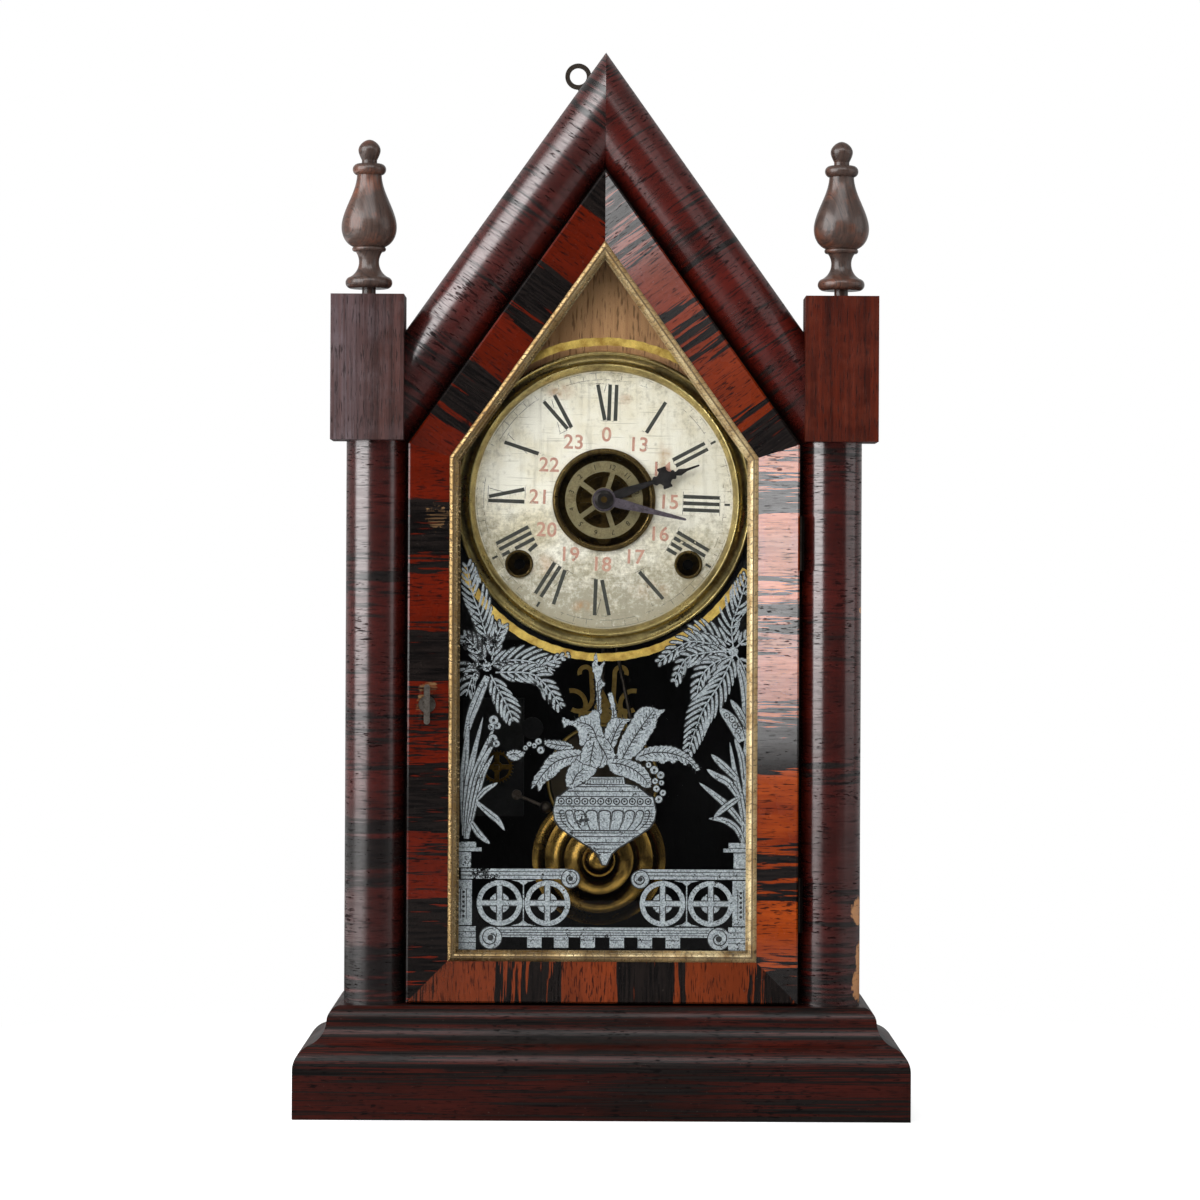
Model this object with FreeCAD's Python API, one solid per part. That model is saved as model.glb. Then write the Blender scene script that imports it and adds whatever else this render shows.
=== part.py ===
"""Gothic shelf clock with a pointed case, two turned finials, a glazed door, a movement and an alarm.

Millimetres, X to the right, Y to the back, Z up. The door faces the negative Y side.
"""
import FreeCAD
import Part
import math
import os

Vector = FreeCAD.Vector

# Case
case_height = 507.7
roof_pitch = 54.5
carcass_depth = 71.5
side_thickness = 11.0
roof_thickness = 10.0
backboard_thickness = 6.0
reveal = 0.5

# Base
base_width = 291.4
base_depth = 116.0
base_height = 52.1
base_band = 23.0
ogee_round_height = 10.9
ogee_round_depth = 6.6
cove_height = 11.0
cove_depth = 8.6
nose_depth = 5.7
ogee_round_sweep = 64
cove_sweep = 70
nose_sweep = 76
moulding_depth = 38.0
base_rail_thickness = 18.0
bottom_thickness = 12.0

# Columns, blocks and gable
column_inner = 94.5
column_width = 29.0
column_projection = 14.0
column_setback = 1.6
shoulder_drop = 186.7
block_inner = 95.4
block_width = 34.8
block_height = 69.2
block_overhang = 6.5
block_depth = 28.0
gable_width = 32.0
gable_projection = 14.0

# Finials
finial_gap = 3.3
dowel_radius = 3.3
dowel_depth = 14.0
finial_foot_radius = 11.2
finial_foot_height = 5.6
finial_neck_radius = 4.9
finial_neck_height = 12.1
finial_ring_radius = 8.1
finial_ring_height = 2.2
finial_belly_radius = 13.2
finial_belly_rise = 9.4
finial_taper_radius = 5.9
finial_taper_height = 24.9
finial_collar_radius = 8.0
finial_collar_height = 5.0
finial_tip_radius = 5.3
finial_tip_height = 12.0

# Door
door_clearance = 1.3
door_lift = 1.1
door_back_gap = 0.3
door_thickness = 13.0
rail_width = 19.5
rail_fall = 3.5
rail_chamfer = 0.8
glass_lap = 4.0
glass_thickness = 2.0
glass_depth = 7.3
bead_width = 5.2
bead_crown = 0.9
bead_lip = 1.4
frame_thickness = 8.0
frame_overlap = 5.2

# Hinges and latch
hinge_barrel_radius = 1.1
hinge_pin_radius = 0.55
hinge_length = 26.0
hinge_leaf = 0.5
hinge_setback = 0.9
hinge_inset = 34.0
fit_clearance = 0.05
knuckle_gap = 0.3
latch_drop = 98.2
latch_disc_radius = 4.0
latch_disc_proud = 0.7
latch_boss_radius = 2.2
latch_lever_width = 2.9
latch_lever_length = 19.0
latch_lever_depth = 2.2
latch_spindle_radius = 1.5
latch_tongue_length = 10.0
latch_tongue_thickness = 1.5

# Dial and hands
dial_drop = 214.3
dial_board_thickness = 4.0
dial_board_drop = 67.4
dial_radius = 66.0
dial_thickness = 0.8
bezel_inner = 62.0
bezel_outer = 71.4
bezel_depth = 5.0
bezel_crown = 2.7
bezel_roll = 2.0
bezel_groove = 2.0
dial_hole_radius = 22.6
dial_ring_outer = 24.5
dial_ring_lip = 0.4
dial_ring_depth = 2.4
winding_offset = 40.7
winding_drop = 30.9
winding_hole_radius = 5.5
grommet_outer = 6.6
grommet_depth = 1.2
alarm_disc_radius = 18.7
alarm_disc_band = 5.2
alarm_disc_hub = 6.0
alarm_disc_spoke = 2.4
alarm_disc_thickness = 0.8
hour_hand_length = 48.7
hour_hand_angle = 69.8
hour_cross_distance = 31.0
hour_cross_half = 5.2
hour_arm_half = 2.1
hour_bar_half = 2.3
hour_point_half = 1.7
minute_hand_length = 40.8
minute_hand_angle = 103.4
minute_bar_half = 2.3
hand_thickness = 0.6
hand_boss_radius = 5.6
hand_nut_radius = 4.6
hand_nut_height = 1.6

# Movement
plate_half_width = 60.0
plate_rise = 66.6
plate_drop = 59.4
plate_thickness = 1.6
plate_gap = 32.0
plate_to_board = 7.5
pillar_radius = 3.0
pillar_top_offset = 50.0
pillar_low_offset = 10.0
pillar_top_inset = 9.0
pillar_low_inset = 6.0
foot_radius = 4.5
foot_top_offset = 54.0
foot_low_offset = 24.0
foot_top_inset = 22.0
arbor_radius = 1.2
centre_arbor_radius = 1.5
cannon_radius = 2.4
hour_pipe_wall = 0.95
winding_arbor_radius = 2.5
winding_square = 4.0
winding_recess = 6.0
wheel_thickness = 1.4
shroud_thickness = 0.6
mesh_play = 1.0
root_depth = 1.0
tip_height = 0.8
tooth_root_share = 0.22
tooth_tip_share = 0.09
pin_share = 0.17
great_teeth = 72
great_module = 0.75
second_pinion = 12
second_teeth = 48
second_module = 0.7
centre_pinion = 18
centre_teeth = 72
centre_module = 0.55
third_pinion = 8
third_teeth = 76
third_module = 0.5
escape_pinion = 6
escape_teeth = 36
escape_radius = 13.0
escape_rise = 39.6
cannon_teeth = 14
minute_teeth = 42
minute_module = 0.6
minute_pinion = 12
hour_teeth = 48
fly_pinion = 8
strike_teeth = 60
strike_module = 0.6
fly_half_width = 11.0
ratchet_radius = 9.0
ratchet_teeth = 24
spring_outer = 24.6
spring_turns = 12
spring_strip = 0.45
spring_width = 13.6
spring_play = 0.4
strike_level_gap = 2.0
second_level_gap = 4.6
great_level_gap = 6.4
centre_level_gap = 8.4
spring_level_gap = 3.9
ratchet_level_gap = 2.8
escape_level_gap = 2.3
cannon_level_gap = 3.4
hour_level_gap = 3.6
hammer_rise = 18.0

# Pendulum and escapement
verge_rise = 18.0
pallet_gap = 1.4
pallet_spread = 34.0
stud_radius = 1.6
rod_radius = 1.0
crutch_drop = 45.0
bob_radius = 27.6
bob_thickness = 5.6
bob_rim = 2.2
bob_rise = 104.4
scroll_width = 2.2
scroll_depth = 1.6
curl_radius = 2.9
curl_offset = 8.7
curl_rise = 25.2
scroll_radius = 6.8
scroll_offset = 12.0
scroll_rise = 13.0
leaf_half = 4.2
leaf_rise = 17.0
rating_nut_radius = 3.4
rating_nut_height = 2.0
rod_tail = 4.0
pendulum_to_back = 5.75

# Bell, strike hammer and alarm
bell_x = -1.7
bell_rise = 66.9
bell_radius = 32.6
bell_first_step = 16.8
bell_second_step = 26.3
bell_step_lip = 0.5
bell_depth = 14.0
bell_wall = 1.2
bell_face_depth = 45.0
bell_post_radius = 3.0
bell_cap_radius = 8.3
hammer_angle = 50.0
hammer_radius = 3.8
hammer_gap = 0.6
hammer_wire = 0.9
alarm_x = -52.0
alarm_rise = 110.9
alarm_frame_width = 30.0
alarm_frame_height = 58.0
alarm_frame_drop = 24.4
alarm_frame_depth = 16.0
alarm_frame_margin = 3.0
alarm_ear_radius = 5.4
alarm_ear_reach = 17.2
alarm_ear_rise = 19.0
alarm_spring_outer = 10.6
alarm_spring_turns = 6
alarm_spring_width = 8.0
alarm_wheel_gap = 1.8
alarm_wheel_teeth = 30
alarm_wheel_module = 0.53
alarm_hammer_angle = 136.3
alarm_ball_radius = 3.0
alarm_arbor_offset = 10.0
alarm_arbor_drop = 13.0

# Hanger and screws
eye_outer = 6.5
eye_inner = 4.2
eye_x = -13.7
eye_drop = 1.9
hanger_width = 8.0
hanger_thickness = 1.4
hanger_root_drop = 33.7
screw_radius = 1.5
screw_head_radius = 3.2
screw_head_height = 0.6
screw_grip = 9.0

# Planes and outlines that follow from the sizes above
slope = math.tan(math.radians(roof_pitch))
fall = 1.0 / math.cos(math.radians(roof_pitch))
front_y = -base_depth / 2
ogee_recess = ogee_round_depth + cove_depth + nose_depth
carcass_y = front_y + ogee_recess + column_setback + column_projection
back_y = carcass_y + carcass_depth
crest_y = carcass_y - column_projection
column_outer = column_inner + column_width
side_outer = column_outer - reveal
column_height = case_height - base_height - shoulder_drop
block_top = base_height + column_height + block_height
roof_apex = case_height - reveal * fall
door_back = carcass_y - door_back_gap
door_front = door_back - door_thickness
glass_front = door_front + glass_depth
rail_inner_y = door_front + rail_fall
frame_back = carcass_y + frame_thickness
board_back = frame_back + dial_board_thickness
dial_face = frame_back - dial_thickness
plate_y = board_back + plate_to_board
plate_inner = plate_y + plate_thickness
rear_plate_y = plate_inner + plate_gap
rear_y = rear_plate_y + plate_thickness
pendulum_y = back_y - pendulum_to_back
dial_centre_height = case_height - dial_drop
latch_height = dial_centre_height - latch_drop
plate_top_height = dial_centre_height + plate_rise
plate_bottom_height = dial_centre_height - plate_drop
bob_height = base_height + bob_rise
bell_height = base_height + bell_rise
alarm_height = base_height + alarm_rise
eye_height = case_height - eye_drop
hanger_root_height = case_height - hanger_root_drop

CARCASS = (side_outer, base_height, roof_apex)
DOOR = (column_inner - door_clearance, base_height + door_lift,
        case_height - (gable_width + door_clearance) * fall)


def inset(outline, distance):
    """Moves a pointed outline (half width, bottom, apex) inwards on every side."""
    half, bottom, apex = outline
    return (half - distance, bottom + distance, apex - distance * fall)


def corners(outline):
    """Five corners (x, z) of a pointed outline, anticlockwise from the lower left."""
    half, bottom, apex = outline
    shoulder = apex - half * slope
    return [(-half, bottom), (half, bottom), (half, shoulder), (0.0, apex), (-half, shoulder)]


def fuse(shapes):
    """Joins shapes to one clean solid."""
    joined = shapes[0].multiFuse(shapes[1:]) if len(shapes) > 1 else shapes[0]
    return joined.removeSplitter()


def box(x0, x1, y0, y1, z0, z1):
    """Box between two corners."""
    return Part.makeBox(x1 - x0, y1 - y0, z1 - z0, Vector(x0, y0, z0))


def prism(points, y0, y1):
    """Polygon of (x, z) points drawn out along Y."""
    ring = [Vector(x, y0, z) for x, z in points]
    face = Part.Face(Part.makePolygon(ring + ring[:1]))
    return face.extrude(Vector(0, y1 - y0, 0))


def rod_y(centre, radius, y0, y1):
    """Cylinder along Y at the (x, z) centre."""
    return Part.makeCylinder(radius, y1 - y0, Vector(centre[0], y0, centre[1]), Vector(0, 1, 0))


def tube_y(centre, outer, inner, y0, y1):
    """Ring along Y at the (x, z) centre."""
    return rod_y(centre, outer, y0, y1).cut(rod_y(centre, inner, y0, y1))


def hoop(centre, radius, width, start, end, y0, y1):
    """Part of a flat ring in front view, from one angle in degrees to another."""
    sweep = [math.radians(start + (end - start) * share) for share in (0, 0.5, 1)]
    outside = [polar(centre, radius + width / 2, angle) for angle in sweep]
    inside = [polar(centre, radius - width / 2, angle) for angle in reversed(sweep)]
    sides = [outside, [outside[-1], inside[0]], inside, [inside[-1], outside[0]]]
    return face_from(sides, lambda x, z: Vector(x, y0, z)).extrude(Vector(0, y1 - y0, 0))


def edge_through(points):
    """Line through two points, arc through three, smooth curve through more."""
    if len(points) == 2:
        return Part.LineSegment(points[0], points[1]).toShape()
    if len(points) == 3:
        return Part.Arc(points[0], points[1], points[2]).toShape()
    curve = Part.BSplineCurve()
    curve.interpolate(points)
    return curve.toShape()


def face_from(segments, place):
    """Face inside a closed run of segments, each put in space by the place function."""
    edges = [edge_through([place(*point) for point in segment]) for segment in segments]
    return Part.Face(Part.Wire(edges))


def bulge(start, end, turn):
    """Arc from start to end as three points, turning by the given angle, positive to the left."""
    dx, dy = end[0] - start[0], end[1] - start[1]
    rise = math.tan(math.radians(turn) / 4) / 2
    middle = ((start[0] + end[0]) / 2 + dy * rise, (start[1] + end[1]) / 2 - dx * rise)
    return [start, middle, end]


def turned_y(segments, centre):
    """Solid turned round an axis along Y from segments of (radius, y) points."""
    face = face_from(segments, lambda r, y: Vector(centre[0] + r, y, centre[1]))
    return face.revolve(Vector(centre[0], 0, centre[1]), Vector(0, 1, 0), 360)


def polar(centre, radius, angle):
    """Point (x, z) at a radius and an angle in radians from a centre."""
    return (centre[0] + radius * math.cos(angle), centre[1] + radius * math.sin(angle))


def heading(start, end):
    """Angle in radians of the line from start to end."""
    return math.atan2(end[1] - start[1], end[0] - start[0])


def meeting(first, first_reach, second, second_reach):
    """Point to the left of the line from first to second that lies at both reaches."""
    span = math.hypot(second[0] - first[0], second[1] - first[1])
    along = (first_reach ** 2 - second_reach ** 2 + span ** 2) / (2 * span)
    across = math.sqrt(max(first_reach ** 2 - along ** 2, 0.01))
    angle = heading(first, second)
    return (first[0] + along * math.cos(angle) - across * math.sin(angle),
            first[1] + along * math.sin(angle) + across * math.cos(angle))


def moulded(start, end, section, trim):
    """Section of (inset, y) segments swept from start to end in the XZ plane and cut to the trim outline."""
    angle = heading(start, end)
    along = Vector(math.cos(angle), 0, math.sin(angle))
    inward = Vector(-math.sin(angle), 0, math.cos(angle))
    reach = math.hypot(end[0] - start[0], end[1] - start[1])
    origin = Vector(start[0], 0, start[1]) - along * reach
    face = face_from(section, lambda u, y: origin + inward * u + Vector(0, y, 0))
    return face.extrude(along * (3 * reach)).common(prism(trim, front_y * 2, base_depth))


def mitred(outline, side, section, depth):
    """One side of a pointed frame, mitred at both ends."""
    outer = corners(outline)
    inner = corners(inset(outline, depth))
    after = (side + 1) % 5
    trim = [outer[side], outer[after], inner[after], inner[side]]
    return moulded(outer[side], outer[after], section, trim)


def toothed(centre, teeth, module, phase, y0, thickness):
    """Wheel with pointed teeth, one of them centred on the phase angle."""
    radius = teeth * module / 2
    share = 2 * math.pi / teeth
    points = []
    for tooth in range(teeth):
        middle = phase + tooth * share
        points.append(polar(centre, radius - root_depth * module, middle - tooth_root_share * share))
        points.append(polar(centre, radius + tip_height * module, middle - tooth_tip_share * share))
        points.append(polar(centre, radius + tip_height * module, middle + tooth_tip_share * share))
        points.append(polar(centre, radius - root_depth * module, middle + tooth_root_share * share))
    return prism(points, y0, y0 + thickness)


def crossed(wheel, centre, hub, rim, spokes, spoke_width, y0, thickness):
    """Wheel with its web cut away between the hub and the rim, leaving straight spokes."""
    web = tube_y(centre, rim, hub, y0, y0 + thickness)
    arms = []
    for spoke in range(spokes):
        angle = 2 * math.pi * spoke / spokes
        arm = box(0, rim + 1, y0, y0 + thickness, -spoke_width / 2, spoke_width / 2)
        arm.rotate(Vector(0, 0, 0), Vector(0, -1, 0), math.degrees(angle))
        arm.translate(Vector(centre[0], 0, centre[1]))
        arms.append(arm)
    return wheel.cut(web.cut(fuse(arms)))


def wheel_on(centre, teeth, module, phase, y0, hub):
    """Crossed clock wheel that starts at y0."""
    rim = teeth * module / 2 - 3.4 * module
    blank = toothed(centre, teeth, module, phase, y0, wheel_thickness)
    return crossed(blank, centre, hub, rim, 4, 2.4, y0, wheel_thickness)


def lantern(centre, pins, module, phase, y_mesh, core):
    """Lantern pinion whose pins reach across the wheel that starts at y_mesh."""
    radius = pins * module / 2
    pin_radius = pin_share * math.pi * module
    y0 = y_mesh - mesh_play
    y1 = y_mesh + wheel_thickness + mesh_play
    parts = [rod_y(centre, radius + pin_radius + 0.3, y0 - shroud_thickness, y0),
             rod_y(centre, radius + pin_radius + 0.3, y1, y1 + shroud_thickness),
             rod_y(centre, core, y0 - shroud_thickness, y1 + shroud_thickness)]
    for pin in range(pins):
        place = polar(centre, radius, phase + 2 * math.pi * pin / pins)
        parts.append(rod_y(place, pin_radius, y0 - shroud_thickness / 2, y1 + shroud_thickness / 2))
    return fuse(parts)


def facing(wheel_centre, pinion_centre, pins):
    """Phase of a pinion that has the gap between two pins towards the wheel."""
    return heading(pinion_centre, wheel_centre) + math.pi / pins


def coil_strip(centre, inner, outer, turns, strip, y0, width):
    """Flat spiral spring of half round arcs, seen along Y."""
    step = (outer - inner) / (2 * turns)
    outside = []
    inside = []
    for half in range(2 * turns):
        shift = step if half % 2 else 0.0
        middle = (centre[0] + shift, centre[1])
        radius = inner + step * half
        start = half * math.pi
        sweep = [start, start + math.pi / 2, start + math.pi]
        outside.append([polar(middle, radius + strip, angle) for angle in sweep])
        inside.append([polar(middle, radius, angle) for angle in reversed(sweep)])
    segments = outside + [[outside[-1][2], inside[-1][0]]] + inside[::-1] + [[inside[0][2],
                                                                              outside[0][0]]]
    face = face_from(segments, lambda x, z: Vector(x, y0, z))
    return face.extrude(Vector(0, width, 0))


def mirrored(shape):
    """Copy on the other side of the middle plane."""
    return shape.mirror(Vector(0, 0, 0), Vector(1, 0, 0))


# Base
def base_profile():
    """Segments (depth, z) of the moulded base, depth measured inwards from the face."""
    top_round = base_band + ogee_round_height
    top_cove = top_round + cove_height
    in_cove = ogee_round_depth + cove_depth
    return [[(0, 0), (0, base_band)],
            bulge((0, base_band), (ogee_round_depth, top_round), -ogee_round_sweep),
            bulge((ogee_round_depth, top_round), (in_cove, top_cove), cove_sweep),
            bulge((in_cove, top_cove), (ogee_recess, base_height), -nose_sweep),
            [(ogee_recess, base_height), (moulding_depth, base_height)],
            [(moulding_depth, base_height), (moulding_depth, 0)],
            [(moulding_depth, 0), (0, 0)]]


def plan_trim(shape, points):
    """Keeps what stands on a plan outline of (x, y) points."""
    ring = [Vector(x, y, 0) for x, y in points]
    face = Part.Face(Part.makePolygon(ring + ring[:1]))
    return shape.common(face.extrude(Vector(0, 0, base_height)))


def base_parts():
    """Front moulding, side mouldings with the back rail, and the bottom board."""
    half = base_width / 2
    inner = half - moulding_depth
    inner_y = front_y + moulding_depth
    rear = base_depth / 2
    front = face_from(base_profile(), lambda u, z: Vector(-half, front_y + u, z))
    front = plan_trim(front.extrude(Vector(base_width, 0, 0)),
                      [(-half, front_y), (half, front_y), (inner, inner_y), (-inner, inner_y)])
    side = face_from(base_profile(), lambda u, z: Vector(half - u, front_y, z))
    side = plan_trim(side.extrude(Vector(0, base_depth, 0)),
                     [(half, front_y), (half, rear), (inner, rear), (inner, inner_y)])
    rail = box(-inner, inner, rear - base_rail_thickness, rear, 0, base_height)
    board = box(-inner, inner, inner_y, rear - base_rail_thickness, base_height - bottom_thickness,
                base_height)
    return {"base_front_moulding": front,
            "base_side_mouldings": Part.makeCompound([mirrored(side), side, rail]),
            "bottom_board": board}


# Carcass
def carcass_parts():
    """Side boards, roof boards, backboard and the frame behind the door."""
    inner_side = side_outer - side_thickness
    roof_under = roof_apex - roof_thickness * fall
    side = prism([(inner_side, base_height), (side_outer, base_height),
                  (side_outer, roof_under - side_outer * slope), (inner_side,
                                                                  roof_under - inner_side * slope)],
                 carcass_y, back_y)
    roof = prism([(0, roof_under), (side_outer, roof_under - side_outer * slope),
                  (side_outer, roof_apex - side_outer * slope), (0, roof_apex)], carcass_y, back_y)
    back = prism(corners(CARCASS), back_y, back_y + backboard_thickness)
    for place in screw_places():
        back = back.cut(rod_y(place, screw_radius, back_y, back_y + backboard_thickness))
    opening = inset(DOOR, frame_overlap)
    half, bottom, apex = opening
    stile = prism([(half, base_height), (inner_side, base_height),
                   (inner_side, roof_under - inner_side * slope), (half, roof_under - half * slope)],
                  carcass_y, frame_back)
    rafter = prism([(0, apex), (half, apex - half * slope), (half, roof_under - half * slope),
                    (0, roof_under)],
                   carcass_y, frame_back)
    sill = box(-half, half, carcass_y, frame_back, base_height, bottom)
    frame = Part.makeCompound([mirrored(stile), stile, mirrored(rafter), rafter, sill])
    return {"left_side_board": mirrored(side), "right_side_board": side,
            "left_roof_board": mirrored(roof), "right_roof_board": roof,
            "backboard": back, "front_frame": frame}


def column_parts():
    """Half round columns, blocks above them and half round gable mouldings."""
    middle = column_inner + column_width / 2
    column = face_from([[(column_inner, carcass_y), (middle, crest_y), (column_outer, carcass_y)],
                        [(column_outer, carcass_y), (column_inner, carcass_y)]],
                       lambda x, y: Vector(x, y, base_height)).extrude(Vector(0, 0, column_height))
    block_front = crest_y - block_overhang
    block = box(block_inner, block_inner + block_width, block_front, block_front + block_depth,
                block_top - block_height, block_top)
    block = block.cut(prism(corners(CARCASS), carcass_y, back_y))
    centre = finial_centre()
    socket = Part.makeCylinder(dowel_radius, dowel_depth,
                               Vector(centre[0], centre[1], block_top - dowel_depth))
    block = block.cut(socket)
    section = [[(0, carcass_y), (gable_width / 2, carcass_y - gable_projection),
                (gable_width, carcass_y)],
               [(gable_width, carcass_y), (0, carcass_y)]]
    under = case_height - gable_width * fall
    trim = [(0, under), (block_inner, under - block_inner * slope),
            (block_inner, case_height - block_inner * slope), (0, case_height)]
    gable = moulded((block_inner, case_height - block_inner * slope), (0, case_height), section,
                    trim).cut(column)
    return {"left_column": mirrored(column), "right_column": column,
            "left_capital": mirrored(block), "right_capital": block,
            "left_gable_moulding": mirrored(gable), "right_gable_moulding": gable}


def finial_centre():
    """Plan position (x, y) of the right finial, in the middle of the block top."""
    return (block_inner + block_width / 2, crest_y - block_overhang + block_depth / 2)


def finial_parts():
    """Turned finials on dowels."""
    z0 = block_top + finial_gap
    z_foot = z0 + finial_foot_height
    z_waist = z_foot + finial_neck_height * 0.48
    z_ring = z_foot + finial_neck_height
    z_belly = z_ring + finial_ring_height
    z_wide = z_belly + finial_belly_rise
    z_taper = z_wide + finial_taper_height
    z_collar = z_taper + finial_collar_height
    z_top = z_collar + finial_tip_height
    foot_top = finial_foot_radius * 0.8
    throat = finial_ring_radius * 0.8
    belly_low = finial_ring_radius * 0.93
    stem = finial_taper_radius * 0.62
    ring_z = (z_ring + z_belly) / 2
    collar_z = (z_taper + z_collar) / 2
    segments = [[(0, block_top - dowel_depth), (dowel_radius, block_top - dowel_depth)],
                [(dowel_radius, block_top - dowel_depth), (dowel_radius, z0)],
                [(dowel_radius, z0), (foot_top, z0)],
                [(foot_top, z0), (finial_foot_radius, (z0 + z_foot) / 2), (foot_top, z_foot)],
                [(foot_top, z_foot), (finial_neck_radius, z_waist), (throat, z_ring)],
                [(throat, z_ring), (finial_ring_radius, ring_z), (belly_low, z_belly)],
                [(belly_low, z_belly), (finial_belly_radius * 0.9, z_belly + finial_belly_rise * 0.42),
                 (finial_belly_radius, z_wide), (finial_belly_radius * 0.93,
                                                 z_wide + finial_taper_height * 0.22),
                 (finial_belly_radius * 0.62, z_wide + finial_taper_height * 0.63), (finial_taper_radius, z_taper)],
                [(finial_taper_radius, z_taper), (finial_collar_radius, collar_z), (stem, z_collar)],
                [(stem, z_collar), (stem, z_collar + finial_tip_height * 0.18)],
                [(stem, z_collar + finial_tip_height * 0.18),
                 (finial_tip_radius * 0.9, z_collar + finial_tip_height * 0.38),
                 (finial_tip_radius, z_collar + finial_tip_height * 0.6),
                 (finial_tip_radius * 0.68, z_collar + finial_tip_height * 0.86), (0, z_top)],
                [(0, z_top), (0, block_top - dowel_depth)]]
    centre = finial_centre()
    face = face_from(segments, lambda r, z: Vector(centre[0] + r, centre[1], z))
    finial = face.revolve(Vector(centre[0], centre[1], 0), Vector(0, 0, 1), 360)
    return {"left_finial": mirrored(finial), "right_finial": finial}


# Door
def hinge_axis():
    """Plan position (x, y) of the hinge pins."""
    return (DOOR[0] + fit_clearance + hinge_barrel_radius, door_front + hinge_setback)


def hinge_bottoms():
    """Lower ends of the two hinges."""
    shoulder = DOOR[2] - DOOR[0] * slope
    return [DOOR[1] + hinge_inset, shoulder - hinge_inset - hinge_length]


def door_parts():
    """Mitred door frame, gilt bead and glass."""
    rail = [[(0, door_back), (0, door_front + rail_chamfer)],
            [(0, door_front + rail_chamfer), (rail_chamfer, door_front)],
            [(rail_chamfer, door_front), (rail_width, rail_inner_y)],
            [(rail_width, rail_inner_y), (rail_width, glass_front)],
            [(rail_width, glass_front), (rail_width - glass_lap, glass_front)],
            [(rail_width - glass_lap, glass_front), (rail_width - glass_lap, door_back)],
            [(rail_width - glass_lap, door_back), (0, door_back)]]
    edge = rail_width + bead_width
    lip = edge - bead_width * 0.22
    bead = [[(rail_width, glass_front), (rail_width, rail_inner_y)],
            [(rail_width, rail_inner_y), (rail_width + bead_width * 0.4, rail_inner_y - bead_crown),
             (lip, glass_front - bead_lip)],
            [(lip, glass_front - bead_lip), (edge, glass_front - bead_lip)],
            [(edge, glass_front - bead_lip), (edge, glass_front)],
            [(edge, glass_front), (rail_width, glass_front)]]
    names = ["door_bottom_rail", "door_right_stile", "door_right_rafter", "door_left_rafter",
             "door_left_stile"]
    parts = {}
    beads = []
    for side, name in enumerate(names):
        parts[name] = mitred(DOOR, side, rail, edge + 1)
        beads.append(mitred(DOOR, side, bead, edge + 1))
    spindle = latch_centre()
    seat = latch_planes()[1]
    hole = fuse([rod_y(spindle, latch_spindle_radius + fit_clearance, door_front - 1, door_back + 1),
                 rod_y(spindle, latch_disc_radius + fit_clearance * 4, door_front - 1, seat)])
    parts["door_left_stile"] = parts["door_left_stile"].cut(hole)
    parts["gilt_bead"] = Part.makeCompound(beads)
    pane = inset(DOOR, rail_width - glass_lap + fit_clearance)
    parts["door_glass"] = prism(corners(pane), glass_front, glass_front + glass_thickness)
    return parts


def latch_centre():
    """Spindle (x, z) of the turn latch, in the middle of the left stile."""
    return (-DOOR[0] + rail_width * 0.48, latch_height)


def rail_face(inward):
    """Y of the canted rail face at a distance from the outer edge."""
    return door_front + rail_fall * (inward - rail_chamfer) / (rail_width - rail_chamfer)


def latch_planes():
    """Front and back of the latch disc, which lies in a shallow seat in the canted stile."""
    inward = latch_centre()[0] + DOOR[0]
    return rail_face(inward) - latch_disc_proud, rail_face(inward + latch_disc_radius)


def latch_parts():
    """Turn latch: disc, thumb lever, spindle and tongue."""
    x, z = latch_centre()
    disc_front, seat = latch_planes()
    lever_back = door_front - door_back_gap
    lever_front = lever_back - latch_lever_depth
    tongue_y = frame_back + door_back_gap
    tongue_end = tongue_y + latch_tongue_thickness
    reach = (latch_lever_length - latch_lever_width) / 2
    lever = box(x - latch_lever_width / 2, x + latch_lever_width / 2, lever_front, lever_back,
                z - reach, z + reach)
    ends = [rod_y((x, z + side * reach), latch_lever_width / 2, lever_front,
                  lever_back) for side in (-1, 1)]
    tongue = box(x - latch_spindle_radius, x + latch_spindle_radius, tongue_y, tongue_end,
                 z - latch_tongue_length, z)
    shape = fuse([rod_y((x, z), latch_disc_radius, disc_front, seat),
                  rod_y((x, z), latch_boss_radius, lever_back, disc_front),
                  lever, rod_y((x, z), latch_spindle_radius, disc_front, tongue_end), tongue] + ends)
    return {"latch_turn": shape}


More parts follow.
